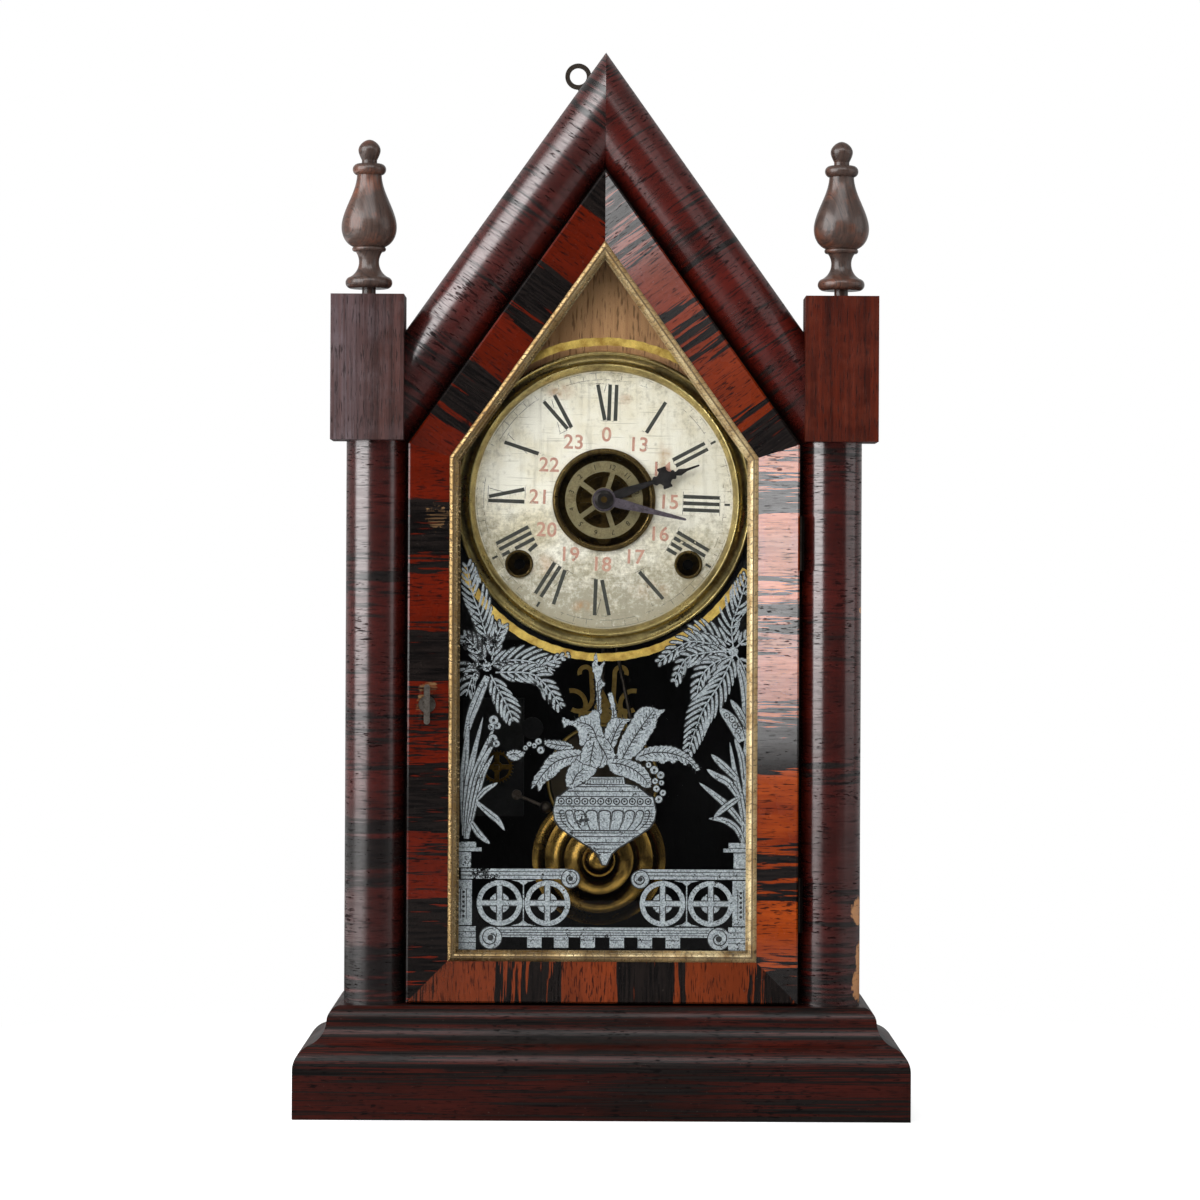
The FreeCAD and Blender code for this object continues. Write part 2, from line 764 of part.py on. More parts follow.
def hinge_parts():
    """Two small butt hinges, one leaf on the door edge and one on the case."""
    x, y = hinge_axis()
    leaf_front = y + hinge_barrel_radius + knuckle_gap
    door_x = DOOR[0]
    case_x = column_inner - hinge_leaf
    door_leaves = []
    case_leaves = []
    third = hinge_length / 3
    for z in hinge_bottoms():
        def knuckle(z0, z1):
            barrel = Part.makeCylinder(hinge_barrel_radius, z1 - z0, Vector(x, y, z0))
            return barrel.cut(Part.makeCylinder(hinge_pin_radius + fit_clearance, z1 - z0,
                                                Vector(x, y, z0)))
        pin = Part.makeCylinder(hinge_pin_radius, hinge_length, Vector(x, y, z))
        door_leaf = box(door_x, door_x + hinge_leaf, leaf_front, door_back, z, z + hinge_length)
        door_tab = box(door_x, door_x + hinge_leaf, y, door_back, z + third + knuckle_gap,
                       z + 2 * third - knuckle_gap)
        bore = Part.makeCylinder(hinge_pin_radius + fit_clearance, hinge_length, Vector(x, y, z))
        middle = knuckle(z + third + knuckle_gap, z + 2 * third - knuckle_gap)
        door_leaves.append(fuse([door_leaf, door_tab, middle]).cut(bore))
        case_leaf = box(case_x, case_x + hinge_leaf, leaf_front, carcass_y, z, z + hinge_length)
        ends = []
        for z0 in (z, z + 2 * third):
            tab = box(case_x, case_x + hinge_leaf, y + hinge_pin_radius + fit_clearance, carcass_y, z0,
                      z0 + third)
            barrel = Part.makeCylinder(hinge_barrel_radius, third, Vector(x, y, z0))
            ends += [tab, barrel]
        case_leaves.append(fuse([case_leaf, pin] + ends))
    return {"door_hinge_leaves": Part.makeCompound(door_leaves),
            "case_hinge_leaves": Part.makeCompound(case_leaves)}


# Dial
CENTRE = (0.0, dial_centre_height)
TIME_WINDER = (winding_offset, dial_centre_height - winding_drop)
STRIKE_WINDER = (-winding_offset, dial_centre_height - winding_drop)


def dial_parts():
    """Dial board, dial plate, bezel and brass rings round the holes."""
    inner_side = side_outer - side_thickness
    outline = (inner_side - door_back_gap, dial_centre_height - dial_board_drop,
               roof_apex - (roof_thickness + door_back_gap) * fall)
    board = prism(corners(outline), frame_back, board_back)
    board = board.cut(rod_y(CENTRE, dial_hole_radius + 0.6, frame_back, board_back))
    plate = rod_y(CENTRE, dial_radius, dial_face, frame_back)
    plate = plate.cut(rod_y(CENTRE, dial_hole_radius, dial_face, frame_back))
    lip = dial_hole_radius - dial_ring_lip
    rings = [turned_y([[(lip, dial_face), (dial_ring_outer, dial_face)],
                       [(dial_ring_outer, dial_face),
                        ((lip + dial_ring_outer) / 2, dial_face - dial_ring_depth),
                        (lip, dial_face)]], CENTRE)]
    for winder in (TIME_WINDER, STRIKE_WINDER):
        board = board.cut(rod_y(winder, winding_hole_radius + 0.6, frame_back, board_back))
        plate = plate.cut(rod_y(winder, winding_hole_radius, dial_face, frame_back))
        rings.append(turned_y([[(winding_hole_radius, dial_face), (grommet_outer, dial_face)],
                               [(grommet_outer, dial_face),
                                ((winding_hole_radius + grommet_outer) / 2, dial_face - grommet_depth),
                                (winding_hole_radius, dial_face)]], winder))
    crown = dial_face - bezel_depth
    ridge = bezel_inner + bezel_crown
    roll = bezel_outer - bezel_roll
    seat = frame_back - bezel_groove
    bezel = turned_y([[(bezel_inner, dial_face), (dial_radius, dial_face)],
                      [(dial_radius, dial_face), (dial_radius, frame_back)],
                      [(dial_radius, frame_back), (bezel_outer, frame_back)],
                      [(bezel_outer, frame_back), (bezel_outer, seat)],
                      [(bezel_outer, seat), (bezel_outer - bezel_roll / 2, seat - bezel_roll / 2), (roll, seat)],
                      [(roll, seat), ((ridge + roll) / 2, seat - (seat - crown) * 0.16),
                       (ridge + 0.6, crown + 0.5)],
                      [(ridge + 0.6, crown + 0.5), (ridge, crown), (ridge - 0.6, crown + 0.5)],
                      [(ridge - 0.6, crown + 0.5), (bezel_inner + 0.7, dial_face - bezel_depth * 0.45),
                       (bezel_inner, dial_face)]], CENTRE)
    return {"dial_board": board, "dial_plate": plate, "dial_bezel": bezel,
            "dial_grommets": Part.makeCompound(rings)}


def hand_outline(points, angle):
    """Outline of a hand drawn upwards, mirrored and turned clockwise by an angle in degrees."""
    right = list(points)
    left = [(-x, z) for x, z in reversed(points) if x > 0]
    turn = math.radians(angle)
    return [(CENTRE[0] + x * math.cos(turn) + z * math.sin(turn),
             CENTRE[1] - x * math.sin(turn) + z * math.cos(turn)) for x, z in right + left]


def hand_levels():
    """Front planes of the alarm disc, the hour hand and the minute hand."""
    disc = dial_face - 1.2
    hour = dial_face - dial_ring_depth - 1.4
    minute = hour - 1.8
    return disc, hour, minute


def hand_parts():
    """Alarm setting disc, hour hand, minute hand with its nut."""
    disc_y, hour_y, minute_y = hand_levels()
    pipe = cannon_radius + fit_clearance + hour_pipe_wall
    disc = rod_y(CENTRE, alarm_disc_radius, disc_y, disc_y + alarm_disc_thickness)
    disc = crossed(disc, CENTRE, alarm_disc_hub, alarm_disc_radius - alarm_disc_band, 5, alarm_disc_spoke,
                   disc_y, alarm_disc_thickness)
    disc = disc.cut(rod_y(CENTRE, pipe + fit_clearance, disc_y, disc_y + alarm_disc_thickness))
    d, c, a = hour_cross_distance, hour_cross_half, hour_arm_half
    bite = [(a + 0.2, c - 0.7), (a - 0.2, c * 0.68), (a + 0.2, a + 0.6), (c * 0.66, a - 0.2), (c - 0.7, a + 0.2)]
    hour_points = [(0, -hand_boss_radius * 0.8), (hour_bar_half, -hand_boss_radius * 0.8),
                   (hour_bar_half, d * 0.33), (a * 0.45, d - c - 1.0), (a, d - c)]
    hour_points += [(x, d - z) for x, z in bite] + [(c, d - a), (c, d + a)]
    hour_points += [(x, d + z) for x, z in reversed(bite)]
    hour_points += [(a, d + c), (a * 0.45, d + c + 0.5), (hour_point_half, d + c + 2.6),
                    (hour_point_half * 0.4, d + c + 6.0), (hour_point_half * 0.24, hour_hand_length),
                    (0, hour_hand_length)]
    minute_points = [(0, -hand_boss_radius * 0.7), (minute_bar_half * 0.87, -hand_boss_radius * 0.7),
                     (minute_bar_half, minute_hand_length * 0.22),
                     (minute_bar_half * 0.54, minute_hand_length * 0.61),
                     (minute_bar_half * 0.4, minute_hand_length * 0.84),
                     (minute_bar_half * 0.24, minute_hand_length * 0.985), (0, minute_hand_length)]
    hour = fuse([prism(hand_outline(hour_points, hour_hand_angle), hour_y, hour_y + hand_thickness),
                 rod_y(CENTRE, hand_boss_radius, hour_y, hour_y + hand_thickness)])
    hour = hour.cut(rod_y(CENTRE, pipe, hour_y, hour_y + hand_thickness))
    minute = fuse([prism(hand_outline(minute_points, minute_hand_angle), minute_y,
                         minute_y + hand_thickness),
                   rod_y(CENTRE, hand_boss_radius, minute_y, minute_y + hand_thickness)])
    minute = minute.cut(rod_y(CENTRE, cannon_radius, minute_y, minute_y + hand_thickness))
    nut = turned_y([[(centre_arbor_radius, minute_y), (hand_nut_radius, minute_y)],
                    [(hand_nut_radius, minute_y), (hand_nut_radius, minute_y - hand_nut_height * 0.55)],
                    [(hand_nut_radius, minute_y - hand_nut_height * 0.55),
                     (hand_nut_radius * 0.72, minute_y - hand_nut_height)],
                    [(hand_nut_radius * 0.72, minute_y - hand_nut_height),
                     (centre_arbor_radius, minute_y - hand_nut_height)],
                    [(centre_arbor_radius, minute_y - hand_nut_height),
                     (centre_arbor_radius, minute_y)]], CENTRE)
    return {"alarm_disc": disc, "hour_hand": hour, "minute_hand": Part.makeCompound([minute, nut])}


# Movement layout
SECOND = meeting(CENTRE, (second_teeth + centre_pinion) * second_module / 2,
                 TIME_WINDER, (great_teeth + second_pinion) * great_module / 2)
STRIKE_SECOND = (-SECOND[0], SECOND[1])
ESCAPE = (0.0, dial_centre_height + escape_rise)
THIRD = meeting(ESCAPE, (third_teeth + escape_pinion) * third_module / 2,
                CENTRE, (centre_teeth + third_pinion) * centre_module / 2)
VERGE = (0.0, dial_centre_height + escape_rise + verge_rise)
MINUTE = (0.0, dial_centre_height - (cannon_teeth + minute_teeth) * minute_module / 2)
FLY = polar(STRIKE_SECOND, (strike_teeth + fly_pinion) * strike_module / 2, math.radians(124))
HAMMER = (0.0, plate_bottom_height + hammer_rise)
hour_module = (cannon_teeth + minute_teeth) * minute_module / (minute_pinion + hour_teeth)

strike_level = plate_inner + strike_level_gap
second_level = strike_level + second_level_gap
great_level = second_level + great_level_gap
third_level = great_level
centre_level = great_level + centre_level_gap
spring_level = great_level + spring_level_gap
ratchet_level = great_level - ratchet_level_gap
escape_level = rear_y + escape_level_gap
cannon_level = plate_y - cannon_level_gap
hour_level = cannon_level - hour_level_gap


def pillar_places():
    """Positions of the four pillars between the plates."""
    return [(side * offset, z) for side in (-1, 1)
            for offset, z in ((pillar_top_offset, plate_top_height - pillar_top_inset),
                              (pillar_low_offset, plate_bottom_height + pillar_low_inset))]


def foot_places():
    """Positions of the four feet that hold the movement to the backboard."""
    return [(side * offset, z) for side in (-1, 1)
            for offset, z in ((foot_top_offset, plate_top_height - foot_top_inset),
                              (foot_low_offset, plate_bottom_height + pillar_low_inset))]


def screw_places():
    """Positions of the screws in the backboard."""
    return foot_places() + [(0.0, hanger_root_height), (bell_x, bell_height)]


def plate_parts():
    """Front plate, and back plate with its pillars and feet."""
    outline = (plate_half_width, plate_bottom_height, plate_top_height)
    front = box(-outline[0], outline[0], plate_y, plate_inner, outline[1], outline[2])
    back = box(-outline[0], outline[0], rear_plate_y, rear_y, outline[1], outline[2])
    holes = [(TIME_WINDER, winding_arbor_radius), (STRIKE_WINDER, winding_arbor_radius),
             (SECOND, arbor_radius),
             (STRIKE_SECOND, arbor_radius), (CENTRE, centre_arbor_radius), (THIRD, arbor_radius),
             (ESCAPE, arbor_radius * 0.75), (FLY, arbor_radius), (HAMMER, arbor_radius)]
    for centre, radius in holes:
        bore = rod_y(centre, radius + fit_clearance, plate_y - 1, rear_y + 1)
        front = front.cut(bore)
        back = back.cut(bore)
    solids = [back]
    for place in pillar_places():
        solids.append(rod_y(place, pillar_radius, plate_inner, rear_plate_y))
    for place in foot_places():
        solids.append(rod_y(place, foot_radius, rear_y, back_y))
    solids.append(rod_y(VERGE, stud_radius, rear_y, pendulum_y + 3.0))
    back = fuse(solids)
    for place in foot_places():
        back = back.cut(rod_y(place, screw_radius, back_y - screw_grip, back_y))
    stud = rod_y(MINUTE, arbor_radius, hour_level - mesh_play - shroud_thickness, plate_y)
    return {"movement_front_plate": fuse([front, stud]), "movement_back_plate": back}


def winding_arbor(centre):
    """Winding arbor with a square end and a ratchet."""
    y0 = dial_face + winding_recess
    half = winding_square / 2
    square = box(centre[0] - half, centre[0] + half, y0, plate_y - 1.5, centre[1] - half,
                 centre[1] + half)
    points = []
    for tooth in range(ratchet_teeth):
        angle = 2 * math.pi * tooth / ratchet_teeth
        points.append(polar(centre, ratchet_radius, angle))
        points.append(polar(centre, ratchet_radius * 0.88, angle + 0.2 * math.pi / ratchet_teeth))
    ratchet = prism(points, ratchet_level, ratchet_level + wheel_thickness)
    return fuse([square, rod_y(centre, winding_arbor_radius, plate_y - 1.5, rear_y + 0.5), ratchet])


def great_wheel(centre, meshed):
    """Great wheel, loose on its winding arbor, with the click that holds the ratchet."""
    wheel = wheel_on(centre, great_teeth, great_module, heading(centre, meshed), great_level,
                     winding_arbor_radius + 6)
    pivot = polar(centre, ratchet_radius + 6.5, math.radians(45))
    nose = polar(centre, ratchet_radius + 1.0, math.radians(75))
    angle = heading(pivot, nose)
    reach = math.hypot(nose[0] - pivot[0], nose[1] - pivot[1])
    bar = [polar(pivot, 1.6, angle + math.pi / 2), polar(pivot, 1.6, angle - math.pi / 2),
           polar(polar(pivot, reach, angle), 0.6, angle - math.pi / 2),
           polar(polar(pivot, reach, angle), 0.6, angle + math.pi / 2)]
    seat = rod_y(pivot, 2.6, great_level, great_level + wheel_thickness)
    arm = box(0, ratchet_radius + 8, great_level, great_level + wheel_thickness, -2.2, 2.2)
    arm.rotate(Vector(0, 0, 0), Vector(0, -1, 0), 45)
    arm.translate(Vector(centre[0], 0, centre[1]))
    click = fuse([prism(bar, ratchet_level, ratchet_level + wheel_thickness),
                  rod_y(pivot, 1.6, ratchet_level, great_level)])
    wheel = fuse([wheel, arm, seat, click])
    return wheel.cut(rod_y(centre, winding_arbor_radius + fit_clearance, ratchet_level,
                           great_level + wheel_thickness))


def arbor(centre, radius):
    """Arbor that runs in both plates."""
    return rod_y(centre, radius, plate_y - 0.5, rear_y + 0.5)


def train_parts():
    """Wheels of the going train, the motion work and the striking train."""
    parts = {"time_winding_arbor": winding_arbor(TIME_WINDER),
             "strike_winding_arbor": winding_arbor(STRIKE_WINDER),
             "time_great_wheel": great_wheel(TIME_WINDER, SECOND),
             "strike_great_wheel": great_wheel(STRIKE_WINDER, STRIKE_SECOND)}
    second_pins = lantern(SECOND, second_pinion, great_module, facing(TIME_WINDER, SECOND, second_pinion),
                          great_level, arbor_radius)
    parts["time_second_wheel"] = fuse([arbor(SECOND, arbor_radius), second_pins, wheel_on(
        SECOND, second_teeth, second_module, heading(SECOND, CENTRE), second_level, arbor_radius + 3)
        .fuse(rod_y(SECOND, arbor_radius + 3, second_level, second_level + wheel_thickness))])
    minute_y = hand_levels()[2]
    nut_front = minute_y - hand_nut_height
    parts["center_wheel"] = fuse([
        rod_y(CENTRE, centre_arbor_radius, nut_front - 0.4, rear_y + 0.5),
        rod_y(CENTRE, cannon_radius, minute_y, plate_y - 0.5),
        wheel_on(CENTRE, centre_teeth, centre_module, heading(CENTRE, THIRD), centre_level,
                 centre_arbor_radius + 3),
        lantern(CENTRE, centre_pinion, second_module, facing(SECOND, CENTRE, centre_pinion), second_level,
                centre_arbor_radius),
        lantern(CENTRE, cannon_teeth, minute_module, facing(MINUTE, CENTRE, cannon_teeth), cannon_level,
                cannon_radius)])
    parts["third_wheel"] = fuse([
        arbor(THIRD, arbor_radius),
        wheel_on(THIRD, third_teeth, third_module, heading(THIRD, ESCAPE), third_level, arbor_radius + 3),
        lantern(THIRD, third_pinion, centre_module, facing(CENTRE, THIRD, third_pinion), centre_level,
                arbor_radius)])
    escape_arbor = arbor_radius * 0.75
    points = []
    for tooth in range(escape_teeth):
        angle = 2 * math.pi * tooth / escape_teeth
        points.append(polar(ESCAPE, escape_radius, angle))
        points.append(polar(ESCAPE, escape_radius * 0.87, angle + 0.6 * math.pi / escape_teeth))
    escape = prism(points, escape_level, escape_level + 1.0)
    escape = crossed(escape, ESCAPE, escape_arbor + 2, escape_radius * 0.74, 4, 1.8, escape_level, 1.0)
    parts["escape_wheel"] = fuse([
        rod_y(ESCAPE, escape_arbor, plate_y - 0.5, escape_level + 1.3), escape,
        lantern(ESCAPE, escape_pinion, third_module, facing(THIRD, ESCAPE, escape_pinion), third_level,
                escape_arbor)])
    minute = wheel_on(MINUTE, minute_teeth, minute_module, heading(MINUTE, CENTRE), cannon_level,
                      arbor_radius + 3)
    pinion = lantern(MINUTE, minute_pinion, hour_module, facing(CENTRE, MINUTE, minute_pinion),
                     hour_level, arbor_radius + 0.5)
    bore = rod_y(MINUTE, arbor_radius + fit_clearance, hour_level - 4, plate_y)
    spacer = rod_y(MINUTE, arbor_radius + 1.0, hour_level + wheel_thickness,
                   cannon_level + wheel_thickness)
    parts["minute_wheel"] = fuse([minute, pinion, spacer]).cut(bore)
    pipe = cannon_radius + fit_clearance + hour_pipe_wall
    hour_y = hand_levels()[1]
    hour = wheel_on(CENTRE, hour_teeth, hour_module, heading(CENTRE, MINUTE), hour_level, pipe + 2)
    parts["hour_wheel"] = fuse([hour, rod_y(CENTRE, pipe, hour_y, hour_level)]).cut(
        rod_y(CENTRE, cannon_radius + fit_clearance, hour_y - 1, hour_level + 3))
    strike_pins = lantern(STRIKE_SECOND, second_pinion, great_module,
                          facing(STRIKE_WINDER, STRIKE_SECOND, second_pinion),
                          great_level, arbor_radius)
    parts["strike_second_wheel"] = fuse([arbor(STRIKE_SECOND, arbor_radius), strike_pins, wheel_on(
        STRIKE_SECOND, strike_teeth, strike_module, heading(STRIKE_SECOND, FLY),
        strike_level, arbor_radius + 3)])
    vane = box(FLY[0] - fly_half_width, FLY[0] + fly_half_width, great_level - 3, rear_plate_y - 3,
               FLY[1] - 0.4, FLY[1] + 0.4)
    parts["strike_fly"] = fuse([
        arbor(FLY, arbor_radius), vane,
        lantern(FLY, fly_pinion, strike_module, facing(STRIKE_SECOND, FLY, fly_pinion), strike_level,
                arbor_radius)])
    inner = winding_arbor_radius + spring_play
    springs = [coil_strip(centre, inner, spring_outer, spring_turns, spring_strip, spring_level,
                          spring_width)
               for centre in (STRIKE_WINDER, TIME_WINDER)]
    alarm_rear = alarm_back() - (alarm_frame_depth - 2 * plate_thickness - alarm_spring_width) / 2
    springs.append(coil_strip((alarm_x, alarm_height), arbor_radius + spring_play, alarm_spring_outer,
                              alarm_spring_turns,
                              spring_strip, alarm_rear - alarm_spring_width, alarm_spring_width))
    alarm_gap = (alarm_spring_outer - arbor_radius - spring_play) / alarm_spring_turns - spring_strip
    great_gap = (spring_outer - inner) / spring_turns - spring_strip
    print("least gap between spring turns", round(min(alarm_gap, great_gap), 2))
    parts["mainsprings"] = Part.makeCompound(springs)
    return parts


# Pendulum
def scroll_parts(foot, y0, y1):
    """Pierced scroll crest that stands on the bob, from its foot at the (x, z) point."""
    x, z = foot
    parts = [prism([(x - scroll_offset, z - leaf_half), (x + scroll_offset, z - leaf_half),
                    (x + scroll_offset, z + scroll_rise - scroll_radius),
                    (x - scroll_offset, z + scroll_rise - scroll_radius)], y0, y1),
             prism([(x - leaf_half, z), (x + leaf_half, z), (x + leaf_half, z + leaf_rise / 2),
                    (x, z + leaf_rise), (x - leaf_half, z + leaf_rise / 2)], y0, y1)]
    for side in (-1, 1):
        curl = (x + side * curl_offset, z + curl_rise)
        scroll = (x + side * scroll_offset, z + scroll_rise)
        tip = (scroll[0] + side * scroll_radius / 2, scroll[1] - scroll_radius / 2)
        inner = curl_offset - curl_radius
        parts.append(hoop(curl, curl_radius, scroll_width, 90 - side * 110, 90 + side * 90, y0, y1))
        parts.append(hoop(scroll, scroll_radius, scroll_width, 90 + side * 90, 90 + side * 210, y0, y1))
        parts.append(hoop(tip, scroll_radius, scroll_width, 90 - side * 10, 90 + side * 110, y0, y1))
        low = x + side * (scroll_offset - scroll_radius)
        high = x + side * inner
        parts.append(prism([(low - scroll_width / 2, scroll[1]), (low + scroll_width / 2, scroll[1]),
                            (high + scroll_width / 2, curl[1]), (high - scroll_width / 2, curl[1])],
                           y0, y1))
    return parts


def pendulum_parts():
    """Verge with its crutch, pendulum rod and bob."""
    x, z = VERGE
    bore = rod_y(VERGE, stud_radius + fit_clearance, rear_y, back_y)
    hub_y0 = escape_level - 0.4
    hub_y1 = escape_level + 3.0
    hub = rod_y(VERGE, stud_radius + 2.2, hub_y0, hub_y1)
    tip_radius = escape_radius + pallet_gap
    spread = math.radians(pallet_spread)
    arms = []
    for side in (-1, 1):
        tip = (x + side * tip_radius * math.sin(spread), ESCAPE[1] + tip_radius * math.cos(spread))
        angle = heading(VERGE, tip)
        reach = math.hypot(tip[0] - x, tip[1] - z)
        arms.append(prism([polar(VERGE, 1.6, angle + math.pi / 2), polar(VERGE, 1.6, angle - math.pi / 2),
                           polar(polar(VERGE, reach, angle), 0.9, angle - math.pi / 2),
                           polar(polar(VERGE, reach, angle), 0.9, angle + math.pi / 2)],
                          hub_y0, escape_level + 1.4))
    rod_y0 = pendulum_y
    bar = box(x - 1.1, x + 1.1, hub_y1 - 1.2, hub_y1, z - crutch_drop, z)
    grip = rod_radius + 0.4
    foot = box(x - grip - 1.4, x + grip + 1.4, hub_y1 - 1.2, hub_y1, z - crutch_drop - 2.4,
               z - crutch_drop)
    prongs = [box(x + side * (grip + 0.7) - 0.7, x + side * (grip + 0.7) + 0.7, hub_y1 - 1.2,
                  rod_y0 + 2.0,
                  z - crutch_drop - 2.4, z - crutch_drop) for side in (-1, 1)]
    verge = fuse([hub, bar, foot] + arms + prongs).cut(bore)
    bob_z = bob_height
    eye = rod_y(VERGE, stud_radius + 2.2, rod_y0 - 1.4, rod_y0 + 1.4)
    tail = bob_z - bob_radius - rod_tail
    rod = Part.makeCylinder(rod_radius, z - tail, Vector(x, rod_y0, tail))
    rod = fuse([eye, rod]).cut(bore)
    nut_z = bob_z - bob_radius - rating_nut_height - 0.4
    nut = Part.makeCylinder(rating_nut_radius, rating_nut_height, Vector(x, rod_y0, nut_z))
    nut = nut.cut(Part.makeCylinder(rod_radius, rating_nut_height, Vector(x, rod_y0, nut_z)))
    rear = rod_y0 - rod_radius
    face = bob_radius - bob_rim
    bob = turned_y([[(0, rear - bob_thickness), (face * 0.6, rear - bob_thickness * 0.9),
                     (face, rear - bob_thickness * 0.6)],
                    [(face, rear - bob_thickness * 0.6),
                     (face + bob_rim * 0.5, rear - bob_thickness * 0.75),
                     (bob_radius, rear - bob_thickness * 0.35)],
                    [(bob_radius, rear - bob_thickness * 0.35), (bob_radius, rear)],
                    [(bob_radius, rear), (0, rear)],
                    [(0, rear), (0, rear - bob_thickness)]], (x, bob_z))
    low = bob_z + bob_radius
    bob = fuse([bob] + scroll_parts((x, low), rear - scroll_depth, rear))
    return {"verge": verge, "pendulum_rod": Part.makeCompound([rod, nut]), "pendulum_bob": bob}


# Bell, strike hammer and alarm
BELL = (bell_x, bell_height)


def bell_front():
    """Plane of the front of the bell."""
    return back_y - bell_face_depth


def bell_parts():
    """Stepped bell, its post and the strike hammer."""
    y0 = bell_front()
    first, second, lip = bell_first_step, bell_second_step, bell_step_lip
    start = bell_cap_radius * 0.96
    outer = [(start, 0.0), (start + (first - start) * 0.42, 0.2), (first, 0.26), (first + lip, 0.31),
             (first + lip * 1.4, 0.46), (first + (second - first) * 0.46, 0.62), (second, 0.65),
             (second + lip, 0.7), (second + lip * 1.4, 0.84), (bell_radius * 0.9, 0.94), (bell_radius, 1.0)]
    front = [(radius, y0 + depth * bell_depth) for radius, depth in outer]
    inside = [(radius - bell_wall * 0.5, y + bell_wall) for radius, y in front[:-1]]
    rim = (bell_radius, front[-1][1] + bell_wall)
    hole = bell_post_radius * 0.6
    back = [rim] + inside[::-1] + [(hole, y0 + bell_wall), (hole, y0)]
    segments = [[(hole, y0), front[0]], front[0:3], front[2:4], front[3:5], front[4:7], front[6:8],
                front[7:9], front[8:11], [front[10], rim]]
    segments += [[back[i], back[i + 1]] for i in range(len(back) - 1)]
    bell = turned_y(segments, BELL)
    post = fuse([rod_y(BELL, bell_post_radius, y0 + bell_wall, back_y - 1.6),
                 rod_y(BELL, hole, y0 - 1.0, y0 + bell_wall),
                 rod_y(BELL, bell_post_radius * 2.4, back_y - 1.6, back_y)])
    post = post.cut(rod_y(BELL, screw_radius, back_y - screw_grip, back_y))
    cap_edge = bell_cap_radius * 0.88
    cap_top = y0 - bell_cap_radius * 0.62
    cap = turned_y([[(hole, y0), (cap_edge, y0)],
                    [(cap_edge, y0), (cap_edge * 0.74, y0 + (cap_top - y0) * 0.7), (hole / 2, cap_top)],
                    [(hole / 2, cap_top), (0, cap_top)], [(0, cap_top), (0, y0 - 1.0)],
                    [(0, y0 - 1.0), (hole, y0 - 1.0)],
                    [(hole, y0 - 1.0), (hole, y0)]], BELL)
    head_angle = math.radians(hammer_angle)
    head = polar(BELL, bell_radius + hammer_radius + hammer_gap, head_angle)
    head_y = y0 + bell_depth - 1.0
    ball = Part.makeSphere(hammer_radius, Vector(head[0], head_y, head[1]))
    pivot = Vector(HAMMER[0], head_y, HAMMER[1])
    wire_end = Vector(head[0], head_y, head[1])
    wire = Part.makeCylinder(hammer_wire, (wire_end - pivot).Length, pivot, wire_end - pivot)
    collar = rod_y(HAMMER, arbor_radius + 1.4, head_y - 1.8, head_y + 1.8)
    hammer = fuse([arbor(HAMMER, arbor_radius), collar, wire, ball])
    return {"bell": bell, "bell_post": Part.makeCompound([post, cap]), "strike_hammer": hammer}


def alarm_back():
    """Front face of the rear alarm plate."""
    return back_y - plate_thickness


def alarm_parts():
    """Alarm frame on the backboard, its wheel and its hammer."""
    y0 = back_y - alarm_frame_depth
    wheel_centre = (alarm_x, alarm_height)
    verge_centre = (alarm_x + alarm_arbor_offset, alarm_height - alarm_arbor_drop)
    x1 = verge_centre[0] + alarm_frame_margin
    x0 = x1 - alarm_frame_width
    z0 = alarm_height - alarm_frame_drop
    z1 = z0 + alarm_frame_height
    ear_centre = (alarm_x + alarm_ear_reach, alarm_height + alarm_ear_rise)
    ear = fuse([rod_y(ear_centre, alarm_ear_radius, y0, y0 + plate_thickness),
                box(alarm_x, ear_centre[0], y0, y0 + plate_thickness, ear_centre[1] - 1.0,
                    ear_centre[1] + 1.0)])
    plates = []
    for y in (y0, alarm_back()):
        plate = box(x0, x1, y, y + plate_thickness, z0, z1)
        for centre in (wheel_centre, verge_centre):
            plate = plate.cut(rod_y(centre, arbor_radius + fit_clearance, y - 1, y + plate_thickness + 1))
        plates.append(plate)
    plates[0] = fuse([plates[0], ear])
    pillars = [rod_y((x, z), alarm_frame_margin * 0.6, y0 + plate_thickness, alarm_back())
               for x in (x0 + alarm_frame_margin, x1 - alarm_frame_margin)
               for z in (z0 + alarm_frame_margin, z1 - alarm_frame_margin)]
    wheel_y = y0 - wheel_thickness - alarm_wheel_gap
    wheel = wheel_on(wheel_centre, alarm_wheel_teeth, alarm_wheel_module, 0.3, wheel_y,
                     arbor_radius + 1.6)
    square = box(alarm_x - arbor_radius, alarm_x + arbor_radius, wheel_y - 8.0, wheel_y - 4.0,
                 alarm_height - arbor_radius, alarm_height + arbor_radius)
    wheel = fuse([wheel, rod_y(wheel_centre, arbor_radius, wheel_y - 4.0, back_y - 0.3), square])
    ball_at = polar(BELL, bell_radius + alarm_ball_radius + 0.5, math.radians(alarm_hammer_angle))
    ball_y = bell_front() + bell_depth - 1.0
    ball = Part.makeSphere(alarm_ball_radius, Vector(ball_at[0], ball_y, ball_at[1]))
    pivot = Vector(verge_centre[0], ball_y, verge_centre[1])
    end = Vector(ball_at[0], ball_y, ball_at[1])
    wire = Part.makeCylinder(0.8, (end - pivot).Length, pivot, end - pivot)
    collar = rod_y(verge_centre, arbor_radius + 1.2, ball_y - 1.5, ball_y + 1.5)
    hammer = fuse([rod_y(verge_centre, arbor_radius, ball_y - 1.5, back_y - 0.3), collar, wire, ball])
    return {"alarm_frame": Part.makeCompound(plates + pillars), "alarm_wheel": wheel,
            "alarm_hammer": hammer}


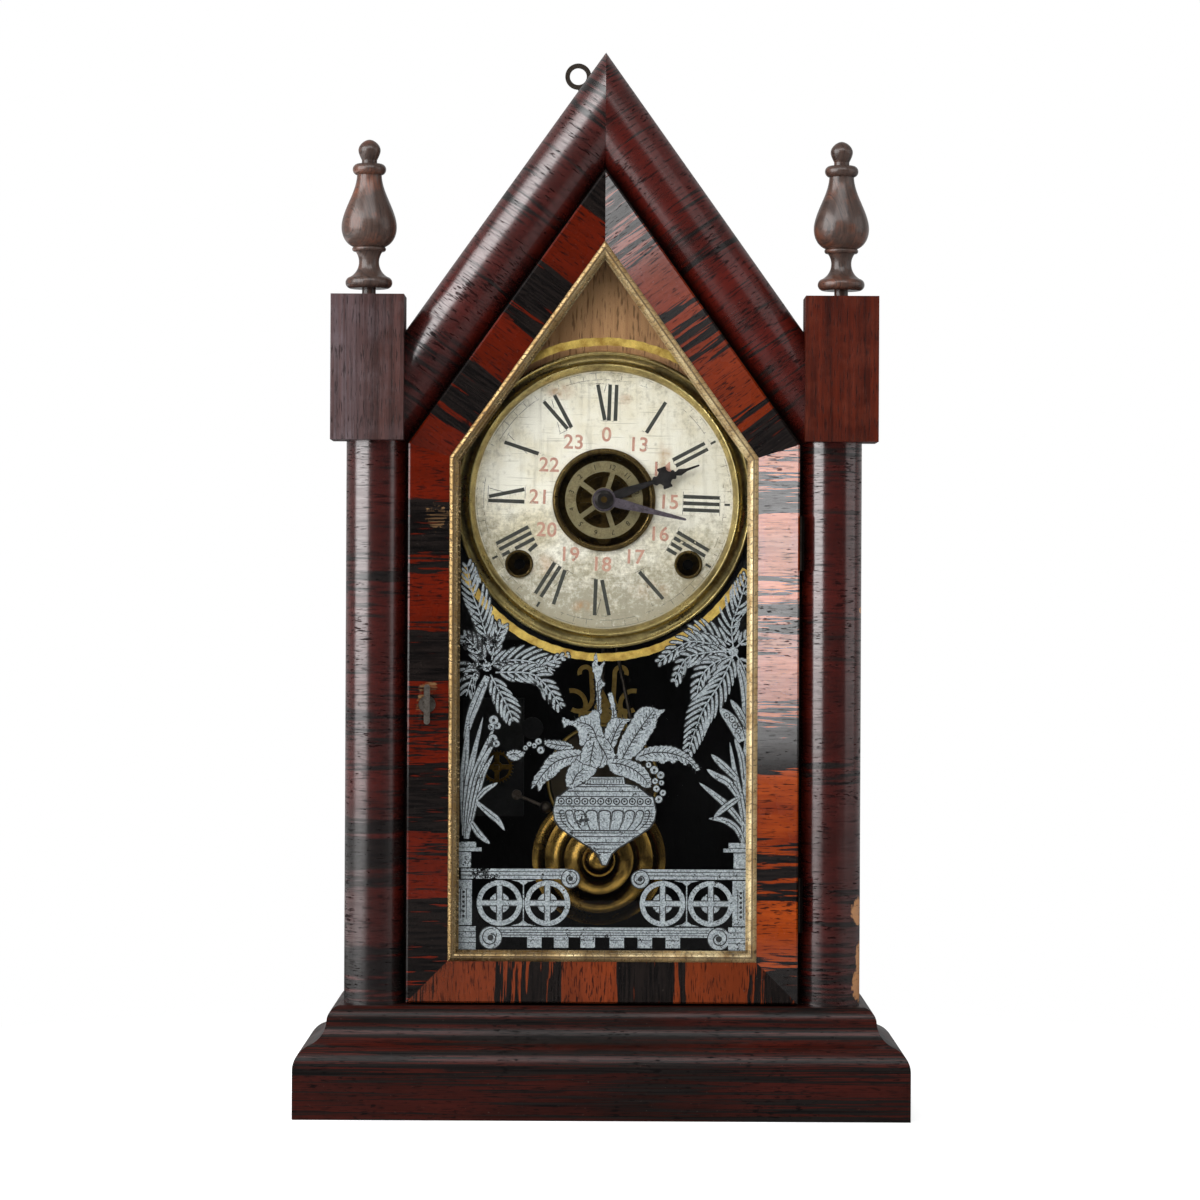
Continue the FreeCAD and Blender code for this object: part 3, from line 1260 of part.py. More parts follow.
# Hanger and screws
def hanger_parts():
    """Flat hanging eye on the back, and the screws and nuts of the case."""
    y0 = back_y + backboard_thickness
    root = (0.0, hanger_root_height)
    eye = (eye_x, eye_height)
    angle = heading(root, eye)
    half = hanger_width / 2
    neck = half * 0.62
    reach = math.hypot(eye[0] - root[0], eye[1] - root[1])
    end = polar(root, reach, angle)
    strip = prism([polar(root, half, angle + math.pi / 2), polar(root, half, angle - math.pi / 2),
                   polar(end, neck, angle - math.pi / 2), polar(end, neck,
                                                                angle + math.pi / 2)], y0, y0 + hanger_thickness)
    eye_plate = fuse([strip, rod_y(root, half, y0, y0 + hanger_thickness),
                      rod_y(eye, eye_outer, y0, y0 + hanger_thickness)])
    eye_plate = eye_plate.cut(rod_y(eye, eye_inner, y0, y0 + hanger_thickness))
    eye_plate = eye_plate.cut(rod_y(root, screw_radius, y0, y0 + hanger_thickness))
    screws = []
    for place in screw_places():
        seat = y0 + hanger_thickness if place[1] == hanger_root_height else y0
        depth = back_y if place[1] == hanger_root_height else back_y - screw_grip
        screws.append(fuse([rod_y(place, screw_radius, depth, seat),
                            rod_y(place, screw_head_radius, seat, seat + screw_head_height)]))
    for place in pillar_places():
        screws.append(rod_y(place, pillar_radius * 0.9, plate_y - 2.0, plate_y))
    return {"hanging_eye": eye_plate, "case_screws": Part.makeCompound(screws)}


def main():
    """Builds every piece and writes one file for each."""
    os.makedirs("parts", exist_ok=True)
    pieces = {}
    for build in (base_parts, carcass_parts, column_parts, finial_parts, door_parts, latch_parts,
                  hinge_parts,
                  dial_parts, hand_parts, plate_parts, train_parts, pendulum_parts, bell_parts, alarm_parts,
                  hanger_parts):
        pieces.update(build())
    for name, shape in pieces.items():
        shape.exportStep("parts/" + name + ".step")


main()
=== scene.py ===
import logging
import math
from dataclasses import dataclass, field
from enum import Enum

import bpy
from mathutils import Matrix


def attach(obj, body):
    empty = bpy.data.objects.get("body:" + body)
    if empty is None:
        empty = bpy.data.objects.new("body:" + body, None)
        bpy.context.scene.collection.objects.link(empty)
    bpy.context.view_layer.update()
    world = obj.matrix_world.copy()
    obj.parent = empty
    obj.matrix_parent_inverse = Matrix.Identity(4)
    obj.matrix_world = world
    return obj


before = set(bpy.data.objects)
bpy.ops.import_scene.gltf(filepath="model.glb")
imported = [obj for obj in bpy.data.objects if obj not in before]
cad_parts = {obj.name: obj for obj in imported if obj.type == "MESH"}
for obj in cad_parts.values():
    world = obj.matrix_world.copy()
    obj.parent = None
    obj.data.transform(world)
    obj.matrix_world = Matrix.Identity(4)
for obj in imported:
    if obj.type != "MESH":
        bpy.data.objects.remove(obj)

logging.basicConfig(level=logging.INFO, format="%(levelname)s %(message)s")
LOG = logging.getLogger("shelf_clock")

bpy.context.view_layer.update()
MM = 0.001
SLOPE = math.radians(54.5)
INSIDE_HALF = 112.5
COARSE_RELIEF = 0.4 * MM
FINE_RELIEF = 0.3 * MM

Point = tuple[float, float]
Colour = tuple[float, float, float]
Triple = tuple[float, float, float]
Stops = tuple[Point, ...]
Outline = list[Point]
Outlines = list[Outline]
Piece = bpy.types.Object
Material = bpy.types.Material
Tree = bpy.types.NodeTree
Node = bpy.types.Node
Socket = bpy.types.NodeSocket
Sockets = bpy.types.bpy_prop_collection

RIGHT: Triple = (1.0, 0.0, 0.0)
DEEP: Triple = (0.0, 1.0, 0.0)
UP: Triple = (0.0, 0.0, 1.0)
RISING: Triple = (math.cos(SLOPE), 0.0, math.sin(SLOPE))
FALLING: Triple = (math.cos(SLOPE), 0.0, -math.sin(SLOPE))
SKEW: Triple = (0.8, 0.6, 0.0)

LEAFLET: Stops = ((0.0, 0.22), (0.16, 0.44), (0.5, 0.5), (0.8, 0.42), (0.94, 0.24), (1.0, 0.0))
BLADE: Stops = ((0.0, 0.3), (0.25, 0.46), (0.5, 0.5), (0.75, 0.38), (0.92, 0.18), (1.0, 0.02))
LINE: Stops = ((0.0, 0.5), (0.6, 0.5), (1.0, 0.3))
SPINDLE: Stops = ((0.0, 0.12), (0.25, 0.5), (0.5, 0.16), (0.75, 0.5), (1.0, 0.12))


def tint(red: float, green: float, blue: float) -> Colour:
    """Linear colour of a screen colour.

    Args:
        red: Red, 0 to 255.
        green: Green, 0 to 255.
        blue: Blue, 0 to 255.

    Returns:
        The linear colour.
    """
    shares = [value / 255.0 for value in (red, green, blue)]
    linear = [v / 12.92 if v <= 0.04045 else ((v + 0.055) / 1.055) ** 2.4 for v in shares]
    return (linear[0], linear[1], linear[2])


class Effect(Enum):
    """Surface effects that several finishes share."""

    GRAIN = "grain_lines"
    SPOT = "worn_spot"
    AGE = "metal_age"
    FILM = "old_lacquer"
    SOFT = "soft_place"


class Graph:
    """A node tree with short ways to add nodes and join them."""

    def __init__(self, tree: Tree) -> None:
        """Keeps the tree that nodes are added to."""
        self.tree = tree

    def add(self, kind: str, **settings: object) -> Node:
        """Adds a node.

        Args:
            kind: Blender's name of the node type.
            settings: Properties to set on the node.

        Returns:
            The new node.
        """
        node = self.tree.nodes.new(kind)
        for name, value in settings.items():
            setattr(node, name, value)
        return node

    def feed(self, socket: Socket, value: object) -> None:
        """Joins another socket to this one, or sets its value.

        Args:
            socket: Input to feed.
            value: A socket, a number or a tuple.
        """
        if isinstance(value, Socket):
            self.tree.links.new(value, socket)
        elif socket.type == "RGBA" and len(value) == 3:
            socket.default_value = (*value, 1.0)
        else:
            socket.default_value = value

    def fill(self, inputs: Sockets, values: dict[str, object]) -> None:
        """Feeds several inputs by their names."""
        for name, value in values.items():
            self.feed(inputs[name], value)

    def row(self, node: Node, *values: object) -> Socket:
        """Feeds the first inputs of a node in their order.

        Args:
            node: The node.
            values: Numbers, tuples or sockets.

        Returns:
            The node's first output.
        """
        for socket, value in zip(node.inputs, values):
            self.feed(socket, value)
        return node.outputs[0]

    def math(self, operation: str, first: object, second: object = 0.0, clamp: bool = False) -> Socket:
        """Result of a math node, kept from 0 to 1 where it is clamped."""
        return self.row(self.add("ShaderNodeMath", operation=operation, use_clamp=clamp), first, second)

    def times(self, first: object, second: object, clamp: bool = False) -> Socket:
        """Product of two values."""
        return self.math("MULTIPLY", first, second, clamp)

    def plus(self, first: object, second: object, clamp: bool = False) -> Socket:
        """Sum of two values."""
        return self.math("ADD", first, second, clamp)

    def minus(self, first: object, second: object, clamp: bool = False) -> Socket:
        """First value less the second."""
        return self.math("SUBTRACT", first, second, clamp)

    def most(self, first: object, second: object) -> Socket:
        """Larger of two values."""
        return self.math("MAXIMUM", first, second)

    def rest(self, value: object) -> Socket:
        """What is left of one."""
        return self.minus(1.0, value)

    def size(self, value: object) -> Socket:
        """Value without its sign."""
        return self.math("ABSOLUTE", value)

    def under(self, value: object, limit: float) -> Socket:
        """One where a value is under a limit, and else nothing."""
        return self.math("LESS_THAN", value, limit)

    def mix(self, share: object, first: object, second: object) -> Socket:
        """Mix of two colours.

        Args:
            share: Share of the second colour.
            first: First colour or socket.
            second: Second colour or socket.

        Returns:
            The mixed colour.
        """
        node = self.add("ShaderNodeMix", data_type="RGBA")
        for index, item in zip((0, 6, 7), (share, first, second)):
            self.feed(node.inputs[index], item)
        return node.outputs[2]

    def spread(self, value: object, low: float, high: float, to_low: float = 0.0, to_high: float = 1.0) -> Socket:
        """Value moved from one range to another and kept inside it."""
        return self.row(self.add("ShaderNodeMapRange", clamp=True), value, low, high, to_low, to_high)

    def noise(self, vector: Socket, scale: object, detail: float = 3.0, roughness: float = 0.55) -> Socket:
        """Soft noise, 0 to 1.

        Args:
            vector: Where to read it.
            scale: Cells for each unit of the vector.
            detail: Number of finer layers.
            roughness: Strength of the finer layers.

        Returns:
            The noise value.
        """
        node = self.add("ShaderNodeTexNoise")
        self.fill(node.inputs, {"Vector": vector, "Scale": scale, "Detail": detail, "Roughness": roughness})
        return node.outputs[0]

    def vector(self, operation: str, first: object, second: object = (0.0, 0.0, 0.0)) -> Socket:
        """Vector or value of a vector math node.

        Args:
            operation: Blender's name of the operation.
            first: First vector.
            second: Second vector.

        Returns:
            The value where the operation gives one, and else the vector.
        """
        node = self.add("ShaderNodeVectorMath", operation=operation)
        self.row(node, first, second)
        return node.outputs["Value" if operation in ("DOT_PRODUCT", "LENGTH") else "Vector"]

    def along(self, vector: Socket, direction: object) -> Socket:
        """How far a place lies along a direction."""
        return self.vector("DOT_PRODUCT", vector, direction)

    def reach(self, vector: Socket, centre: object, size: object) -> Socket:
        """Distance from a centre, as a share of the size each way."""
        return self.vector("LENGTH", self.vector("DIVIDE", self.vector("SUBTRACT", vector, centre), size))

    def radius(self, vector: Socket, centre: Point) -> Socket:
        """Distance from a line to the back through an (x, z) point in millimetres."""
        offset = self.vector("SUBTRACT", vector, (centre[0] * MM, 0.0, centre[1] * MM))
        return self.vector("LENGTH", self.vector("MULTIPLY", offset, (1.0, 0.0, 1.0)))

    def split(self, vector: Socket) -> tuple[Socket, ...]:
        """The three values of a vector."""
        node = self.add("ShaderNodeSeparateXYZ")
        self.row(node, vector)
        return tuple(node.outputs)

    def place(self, x: object, y: object, z: object) -> Socket:
        """Vector put together from three values."""
        return self.row(self.add("ShaderNodeCombineXYZ"), x, y, z)

    def stretched(self, parts: tuple[Socket, ...], scales: Triple) -> Socket:
        """Vector put together from three values, each at its own scale."""
        return self.place(*(self.times(part, scale) for part, scale in zip(parts, scales)))

    def ramp(self, share: Socket, stops: Stops) -> Socket:
        """Grey ramp.

        Args:
            share: Place on the ramp, 0 to 1.
            stops: Places and grey levels.

        Returns:
            The grey level.
        """
        node = self.add("ShaderNodeValToRGB")
        points = node.color_ramp.elements
        while len(points) < len(stops):
            points.new(0.5)
        for point, (position, _) in zip(points, stops):
            point.position = position
        for point, (_, level) in zip(points, stops):
            point.color = (level, level, level, 1.0)
        self.feed(node.inputs[0], share)
        return node.outputs[0]

    def group(self, effect: Effect, **inputs: object) -> Sockets:
        """Places a shared effect.

        Args:
            effect: The effect.
            inputs: Values or sockets by the effect's input names.

        Returns:
            The effect's outputs.
        """
        node = self.add("ShaderNodeGroup", node_tree=Effects.get(effect))
        self.fill(node.inputs, inputs)
        return node.outputs

    def close(self, kind: str, surface: Socket) -> None:
        """Adds an output node and joins a surface to it."""
        self.feed(self.add(kind).inputs["Surface"], surface)


class Effects:
    """Node groups of the shared effects, each built once."""

    made: dict[Effect, Tree] = {}

    @classmethod
    def get(cls, effect: Effect) -> Tree:
        """Group of an effect, built when it is first asked for."""
        if effect not in cls.made:
            makers = {Effect.GRAIN: cls.grain, Effect.SPOT: cls.spot, Effect.AGE: cls.age, Effect.FILM: cls.film,
                      Effect.SOFT: cls.soft}
            cls.made[effect] = makers[effect]()
        return cls.made[effect]

    @staticmethod
    def start(effect: Effect, inputs: tuple[tuple[str, str, object], ...],
              outputs: tuple[str, ...]) -> tuple[Graph, Sockets, Sockets]:
        """Starts a group with its sockets.

        Args:
            effect: The effect.
            inputs: Name, kind and default of each input after the place.
            outputs: Name of each output, a colour where it is called so and else a value.

        Returns:
            The graph, what it is given and what it puts out.
        """
        tree = bpy.data.node_groups.new(effect.value, "ShaderNodeTree")
        for name, kind, default in (("Vector", "Vector", None), *inputs):
            socket = tree.interface.new_socket(name, in_out="INPUT", socket_type="NodeSocket" + kind)
            if default is not None:
                socket.default_value = default
        for name in outputs:
            kind = name if name == "Color" else "Float"
            tree.interface.new_socket(name, in_out="OUTPUT", socket_type="NodeSocket" + kind)
        graph = Graph(tree)
        return graph, graph.add("NodeGroupInput").outputs, graph.add("NodeGroupOutput").inputs

    @staticmethod
    def axes(graph: Graph, given: Sockets) -> tuple[Socket, ...]:
        """How far a place lies along a piece, across it and to the back."""
        return tuple(graph.along(given["Vector"], way) for way in (given["Along"], given["Across"], DEEP))

    @classmethod
    def grain(cls) -> Tree:
        """Wood lines that run across one direction and follow another."""
        graph, given, result = cls.start(
            Effect.GRAIN,
            (("Along", "Vector", UP), ("Across", "Vector", RIGHT),
             ("Lines", "Float", 400.0), ("Wander", "Float", 0.004), ("Ends", "Float", 11.0)),
            ("Along", "Streak", "Threads", "Pores", "Tone"))
        along, across, depth = cls.axes(graph, given)
        lines = graph.times(along, given["Lines"])
        sideways, backward = (graph.times(way, given["Ends"]) for way in (across, depth))
        fine = graph.noise(graph.place(lines, sideways, backward), 1.0, 2.5, 0.55)
        thin = graph.noise(graph.stretched((lines, sideways, backward), (2.3, 1.7, 1.7)), 1.0, 2.0, 0.5)
        broad = graph.noise(graph.stretched((along, across, depth), (46.0, 11.0, 11.0)), 1.0, 3.0, 0.55)
        pores = graph.noise(graph.stretched((lines, across, depth), (3.0, 120.0, 120.0)), 1.0, 2.0, 0.6)
        swing, shake = (graph.times(graph.minus(noise, 0.5), given["Wander"]) for noise in (broad, fine))
        moved = graph.plus(graph.plus(along, graph.times(swing, 3.0)), graph.times(shake, 2.0))
        graph.fill(result, {"Along": moved, "Streak": graph.spread(fine, 0.32, 0.68),
                            "Threads": graph.spread(thin, 0.36, 0.64), "Pores": graph.spread(pores, 0.56, 0.66),
                            "Tone": graph.spread(broad, 0.3, 0.7)})
        return graph.tree

    @classmethod
    def soft(cls) -> Tree:
        """Mask of one place that fades out to its edge."""
        graph, given, result = cls.start(
            Effect.SOFT,
            (("Centre", "Vector", (0, 0, 0)), ("Size", "Vector", (0.01, 0.01, 0.01))),
            ("Mask",))
        reach = graph.reach(given["Vector"], given["Centre"], given["Size"])
        graph.feed(result["Mask"], graph.spread(reach, 1.0, 0.3))
        return graph.tree

    @classmethod
    def spot(cls) -> Tree:
        """Mask of one ragged worn or chipped place."""
        graph, given, result = cls.start(
            Effect.SPOT,
            (("Centre", "Vector", (0, 0, 0)), ("Size", "Vector", (0.01, 0.01, 0.01)),
             ("Ragged", "Float", 0.8)),
            ("Mask",))
        reach = graph.reach(given["Vector"], given["Centre"], given["Size"])
        rough = graph.minus(graph.noise(given["Vector"], 420.0, 4.0, 0.65), 0.5)
        edge = graph.plus(reach, graph.times(rough, given["Ragged"]))
        graph.feed(result["Mask"], graph.spread(edge, 1.0, 0.86))
        return graph.tree

    @classmethod
    def age(cls) -> Tree:
        """Old metal: bright and dull colours, stains and fine scratches."""
        graph, given, result = cls.start(
            Effect.AGE,
            (("Bright", "Color", None), ("Dull", "Color", None),
             ("Scale", "Float", 60.0), ("Amount", "Float", 0.5), ("Smooth", "Float", 0.2), ("Rough", "Float", 0.5)),
            ("Color", "Roughness", "Height"))
        stains = graph.noise(given["Vector"], given["Scale"], 5.0, 0.62)
        specks = graph.noise(given["Vector"], graph.times(given["Scale"], 9.0), 3.0, 0.6)
        both = graph.plus(graph.times(stains, 0.7), graph.times(specks, 0.3))
        dull = graph.plus(both, graph.minus(given["Amount"], 0.5))
        mask = graph.spread(dull, 0.38, 0.64)
        graph.feed(result["Color"], graph.mix(mask, given["Bright"], given["Dull"]))
        share = graph.times(mask, graph.minus(given["Rough"], given["Smooth"]))
        graph.feed(result["Roughness"], graph.plus(given["Smooth"], share))
        graph.feed(result["Height"], graph.plus(specks, graph.times(mask, 0.4)))
        return graph.tree

    @classmethod
    def film(cls) -> Tree:
        """Old lacquer: hazy and glossy places, dust specks and short cracks along the wood lines."""
        graph, given, result = cls.start(
            Effect.FILM,
            (("Along", "Vector", UP), ("Across", "Vector", RIGHT),
             ("Smooth", "Float", 0.16), ("Rough", "Float", 0.42)),
            ("Roughness", "Height", "Specks", "Pits"))
        haze = graph.noise(given["Vector"], 34.0, 5.0, 0.6)
        dashes = graph.noise(graph.stretched(cls.axes(graph, given), (1100.0, 210.0, 210.0)), 1.0, 2.0, 0.5)
        crowd = graph.times(graph.minus(haze, 0.5), 0.6)
        cut = graph.spread(graph.plus(dashes, crowd), 0.64, 0.7)
        dust = graph.spread(graph.noise(given["Vector"], 900.0, 2.0, 0.5), 0.70, 0.80)
        span = graph.minus(given["Rough"], given["Smooth"])
        level = graph.plus(given["Smooth"], graph.times(graph.spread(haze, 0.35, 0.7), span))
        graph.feed(result["Roughness"], graph.plus(level, graph.times(dust, 0.2), True))
        ripple = graph.times(graph.noise(given["Vector"], 55.0, 2.0, 0.5), 0.5)
        graph.feed(result["Height"], graph.minus(ripple, graph.times(cut, 0.5)))
        graph.feed(result["Specks"], dust)
        graph.feed(result["Pits"], cut)
        return graph.tree


def emptied(owner: Material | bpy.types.World) -> Graph:
    """Empty graph of a material or a world.

    Args:
        owner: The material or world.

    Returns:
        Its graph.
    """
    owner.use_nodes = True
    owner.node_tree.nodes.clear()
    return Graph(owner.node_tree)


def new_material(name: str) -> tuple[Material, Graph, Sockets, Socket]:
    """Empty material with a Principled surface.

    Args:
        name: Name of the finish.

    Returns:
        The material, its graph, the inputs of its surface and the Object coordinates.
    """
    material = bpy.data.materials.new(name)
    graph = emptied(material)
    surface = graph.add("ShaderNodeBsdfPrincipled")
    graph.close("ShaderNodeOutputMaterial", surface.outputs[0])
    place = graph.add("ShaderNodeTexCoord").outputs["Object"]
    return material, graph, surface.inputs, place


def add_bump(graph: Graph, surface: Sockets, height: Socket, strength: float, distance: float,
             goal: str = "Normal") -> None:
    """Gives a surface its fine relief.

    Args:
        graph: The material's graph.
        surface: Inputs of the surface.
        height: Relief, 0 to 1.
        strength: Strength of the relief.
        distance: Depth of the relief in metres.
        goal: Input of the surface that takes the relief.
    """
    bump = graph.add("ShaderNodeBump")
    graph.fill(bump.inputs, {"Strength": strength, "Distance": distance, "Height": height})
    graph.feed(surface[goal], bump.outputs[0])


@dataclass(frozen=True)
class Spot:
    """A chipped or worn place, in millimetres."""

    centre: Triple
    size: Triple
    ragged: float = 0.9

    def place(self) -> dict[str, Triple]:
        """Centre and size in metres, as a node group takes them."""
        return {"Centre": tuple(v * MM for v in self.centre), "Size": tuple(v * MM for v in self.size)}


@dataclass(frozen=True)
class StreakedVeneer:
    """Lacquered veneer with black streaks at measured places along a piece, in millimetres."""

    name: str
    along: Triple
    across: Triple
    start: float
    end: float
    bands: Stops
    light: Colour
    deep: Colour
    black: Colour = tint(12, 10, 10)
    lines: float = 430.0
    wander: float = 0.0032
    smooth: float = 0.2
    rough: float = 0.4
    coat: float = 0.95
    ends: float = 30.0
    film: float = 0.15
    comb: float = 0.62
    bare: Colour = tint(176, 128, 84)
    spots: tuple[Spot, ...] = ()
    lean: Triple | None = None
    blur: float = 0.05
    gloss: float = 2.2
    kept: Stops = ()
    scored: bool = False
    vein: Colour = tint(58, 48, 44)
    dust: Colour = tint(150, 135, 125)
    sheen: float = 0.06
    relief: float = 0.24

    def material(self) -> Material:
        """Builds the veneer's material."""
        material, graph, surface, place = new_material(self.name)
        grain = graph.group(Effect.GRAIN, Vector=place, Along=self.along, Across=self.across, Lines=self.lines,
                            Wander=self.wander, Ends=self.ends)
        share = graph.spread(grain["Along"], self.start * MM, self.end * MM)
        bands = graph.ramp(share, self.bands)
        teeth = graph.times(graph.minus(grain["Streak"], 0.5), self.comb)
        threads = graph.times(graph.minus(grain["Threads"], 0.5), self.comb * 0.6)
        mask = graph.spread(graph.plus(graph.plus(bands, teeth), threads), 0.5 - self.blur, 0.5 + self.blur)
        wood = graph.mix(grain["Tone"], self.light, self.deep)
        wood = graph.mix(graph.times(grain["Threads"], 0.45), wood, self.deep)
        wood = graph.mix(graph.times(grain["Pores"], 0.75), wood, self.black)
        veined = graph.mix(graph.times(grain["Threads"], 0.22), self.black, self.vein)
        colour = graph.mix(mask, wood, veined)
        film = graph.group(Effect.FILM, Vector=place, Along=self.along, Across=self.across, Smooth=self.smooth,
                           Rough=self.rough)
        rough = film["Roughness"]
        for spot in self.spots:
            worn = graph.group(Effect.SPOT, Vector=place, Ragged=spot.ragged, **spot.place())["Mask"]
            if self.scored:
                lines = graph.times(grain["Threads"], grain["Threads"])
                worn = graph.times(worn, lines)
            colour = graph.mix(worn, colour, self.bare)
            rough = graph.most(rough, graph.times(worn, 0.8))
        colour = graph.mix(graph.times(film["Pits"], 0.8), colour, self.black)
        colour = graph.mix(graph.times(film["Specks"], 0.1), colour, self.dust)
        sealed = graph.rest(graph.times(film["Pits"], 0.9))
        sealed = graph.times(sealed, graph.rest(graph.times(mask, 0.3)))
        lines = graph.most(graph.times(grain["Threads"], 0.22), graph.times(grain["Pores"], 0.6))
        sealed = graph.times(sealed, graph.rest(lines))
        if self.kept:
            sealed = graph.times(sealed, graph.ramp(share, self.kept))
        graph.fill(surface, {"Base Color": colour, "Roughness": rough, "Specular IOR Level": self.sheen,
                             "Coat Weight": graph.times(sealed, self.coat), "Coat Roughness": self.film,
                             "Coat IOR": self.gloss})
        relief = graph.minus(film["Height"], graph.times(grain["Pores"], 0.35))
        relief = graph.plus(relief, graph.times(grain["Tone"], 0.5))
        relief = graph.minus(relief, graph.times(grain["Threads"], 0.16))
        add_bump(graph, surface, relief, self.relief, COARSE_RELIEF)
        if self.lean is not None:
            add_bump(graph, surface, graph.along(place, self.lean), 1.0, 1.0, "Coat Normal")
        return material


@dataclass(frozen=True)
class PlainWood:
    """Plain wood with grain, oiled or bare."""

    name: str
    along: Triple
    across: Triple
    light: Colour
    deep: Colour
    lines: float = 420.0
    smooth: float = 0.35
    rough: float = 0.6
    coat: float = 0.0
    inside: Colour | None = None
    depth: float = 49.9
    above: float = 600.0
    gloss: float = 0.5
    worn: Colour | None = None
    reach: Point | None = None
    film: float = 0.25
    wander: float = 0.002
    relief: float = 0.4

    def material(self) -> Material:
        """Builds the wood's material, with a second colour in blotches that also spreads over one side as painted
        sheen where a reach is given, and with its inside turned near black as painted shade where the piece has one.
        """
        material, graph, surface, place = new_material(self.name)
        grain = graph.group(Effect.GRAIN, Vector=place, Along=self.along, Across=self.across, Lines=self.lines,
                            Wander=self.wander)
        wood = graph.mix(grain["Streak"], self.light, self.deep)
        wood = graph.mix(graph.times(grain["Tone"], 0.5), wood, self.deep)
        # A second colour in blotches. Where a reach is given, it also spreads over the piece's left side as painted
        # sheen.
        if self.worn is not None:
            rubbed = graph.spread(graph.noise(place, 70.0, 4.0, 0.6), 0.46, 0.66)
            if self.reach is not None:
                side = graph.spread(graph.along(place, RIGHT), self.reach[0] * MM, self.reach[1] * MM)
                rubbed = graph.plus(graph.times(rubbed, 0.35), graph.times(side, 0.6), True)
            threads = graph.times(grain["Threads"], 0.6)
            wood = graph.mix(graph.times(rubbed, graph.plus(threads, 0.35)), wood, self.worn)
        dark = tuple(v * 0.3 for v in self.deep)
        wood = graph.mix(graph.times(grain["Pores"], 0.7), wood, dark)
        # Painted shade: inside the case, below the given height, the wood is turned near black, as the inside lies in
        # shade.
        if self.inside is not None:
            x, y, z = graph.split(place)
            wide = graph.under(graph.size(x), INSIDE_HALF * MM)
            near = graph.under(y, self.depth * MM + 0.0002)
            under = graph.spread(z, (self.above + 4.0) * MM, (self.above - 4.0) * MM)
            mask = graph.times(graph.times(wide, near), under)
            wood = graph.mix(mask, wood, self.inside)
        film = graph.group(Effect.FILM, Vector=place, Along=self.along, Across=self.across, Smooth=self.smooth,
                           Rough=self.rough)
        graph.fill(surface, {"Base Color": wood, "Roughness": film["Roughness"], "Specular IOR Level": self.gloss,
                             "Coat Weight": self.coat, "Coat Roughness": self.film})
        relief = graph.minus(film["Height"], graph.times(grain["Pores"], 0.8))
        add_bump(graph, surface, relief, self.relief, COARSE_RELIEF)
        return material


@dataclass(frozen=True)
class OldMetal:
    """Metal with tarnish, stains and scratches."""

    name: str
    bright: Colour
    dull: Colour
    scale: float = 60.0
    amount: float = 0.5
    smooth: float = 0.22
    rough: float = 0.5
    metallic: float = 1.0
    relief: float = 0.15
    centre: Point | None = None
    radius: float = 0.0
    core: Colour = tint(40, 36, 34)
    blur: float = 0.3

    def material(self) -> Material:
        """Builds the metal's material, with another colour round a centre where it has one."""
        material, graph, surface, place = new_material(self.name)
        age = graph.group(Effect.AGE, Vector=place, Bright=self.bright, Dull=self.dull, Scale=self.scale,
                          Amount=self.amount, Smooth=self.smooth, Rough=self.rough)
        colour = age["Color"]
        if self.centre is not None:
            edge = self.radius * MM
            core = graph.spread(graph.radius(place, self.centre), edge, edge - self.blur * MM)
            colour = graph.mix(core, colour, self.core)
        graph.fill(surface, {"Base Color": colour, "Roughness": age["Roughness"], "Metallic": self.metallic})
        add_bump(graph, surface, age["Height"], self.relief, FINE_RELIEF)
        return material


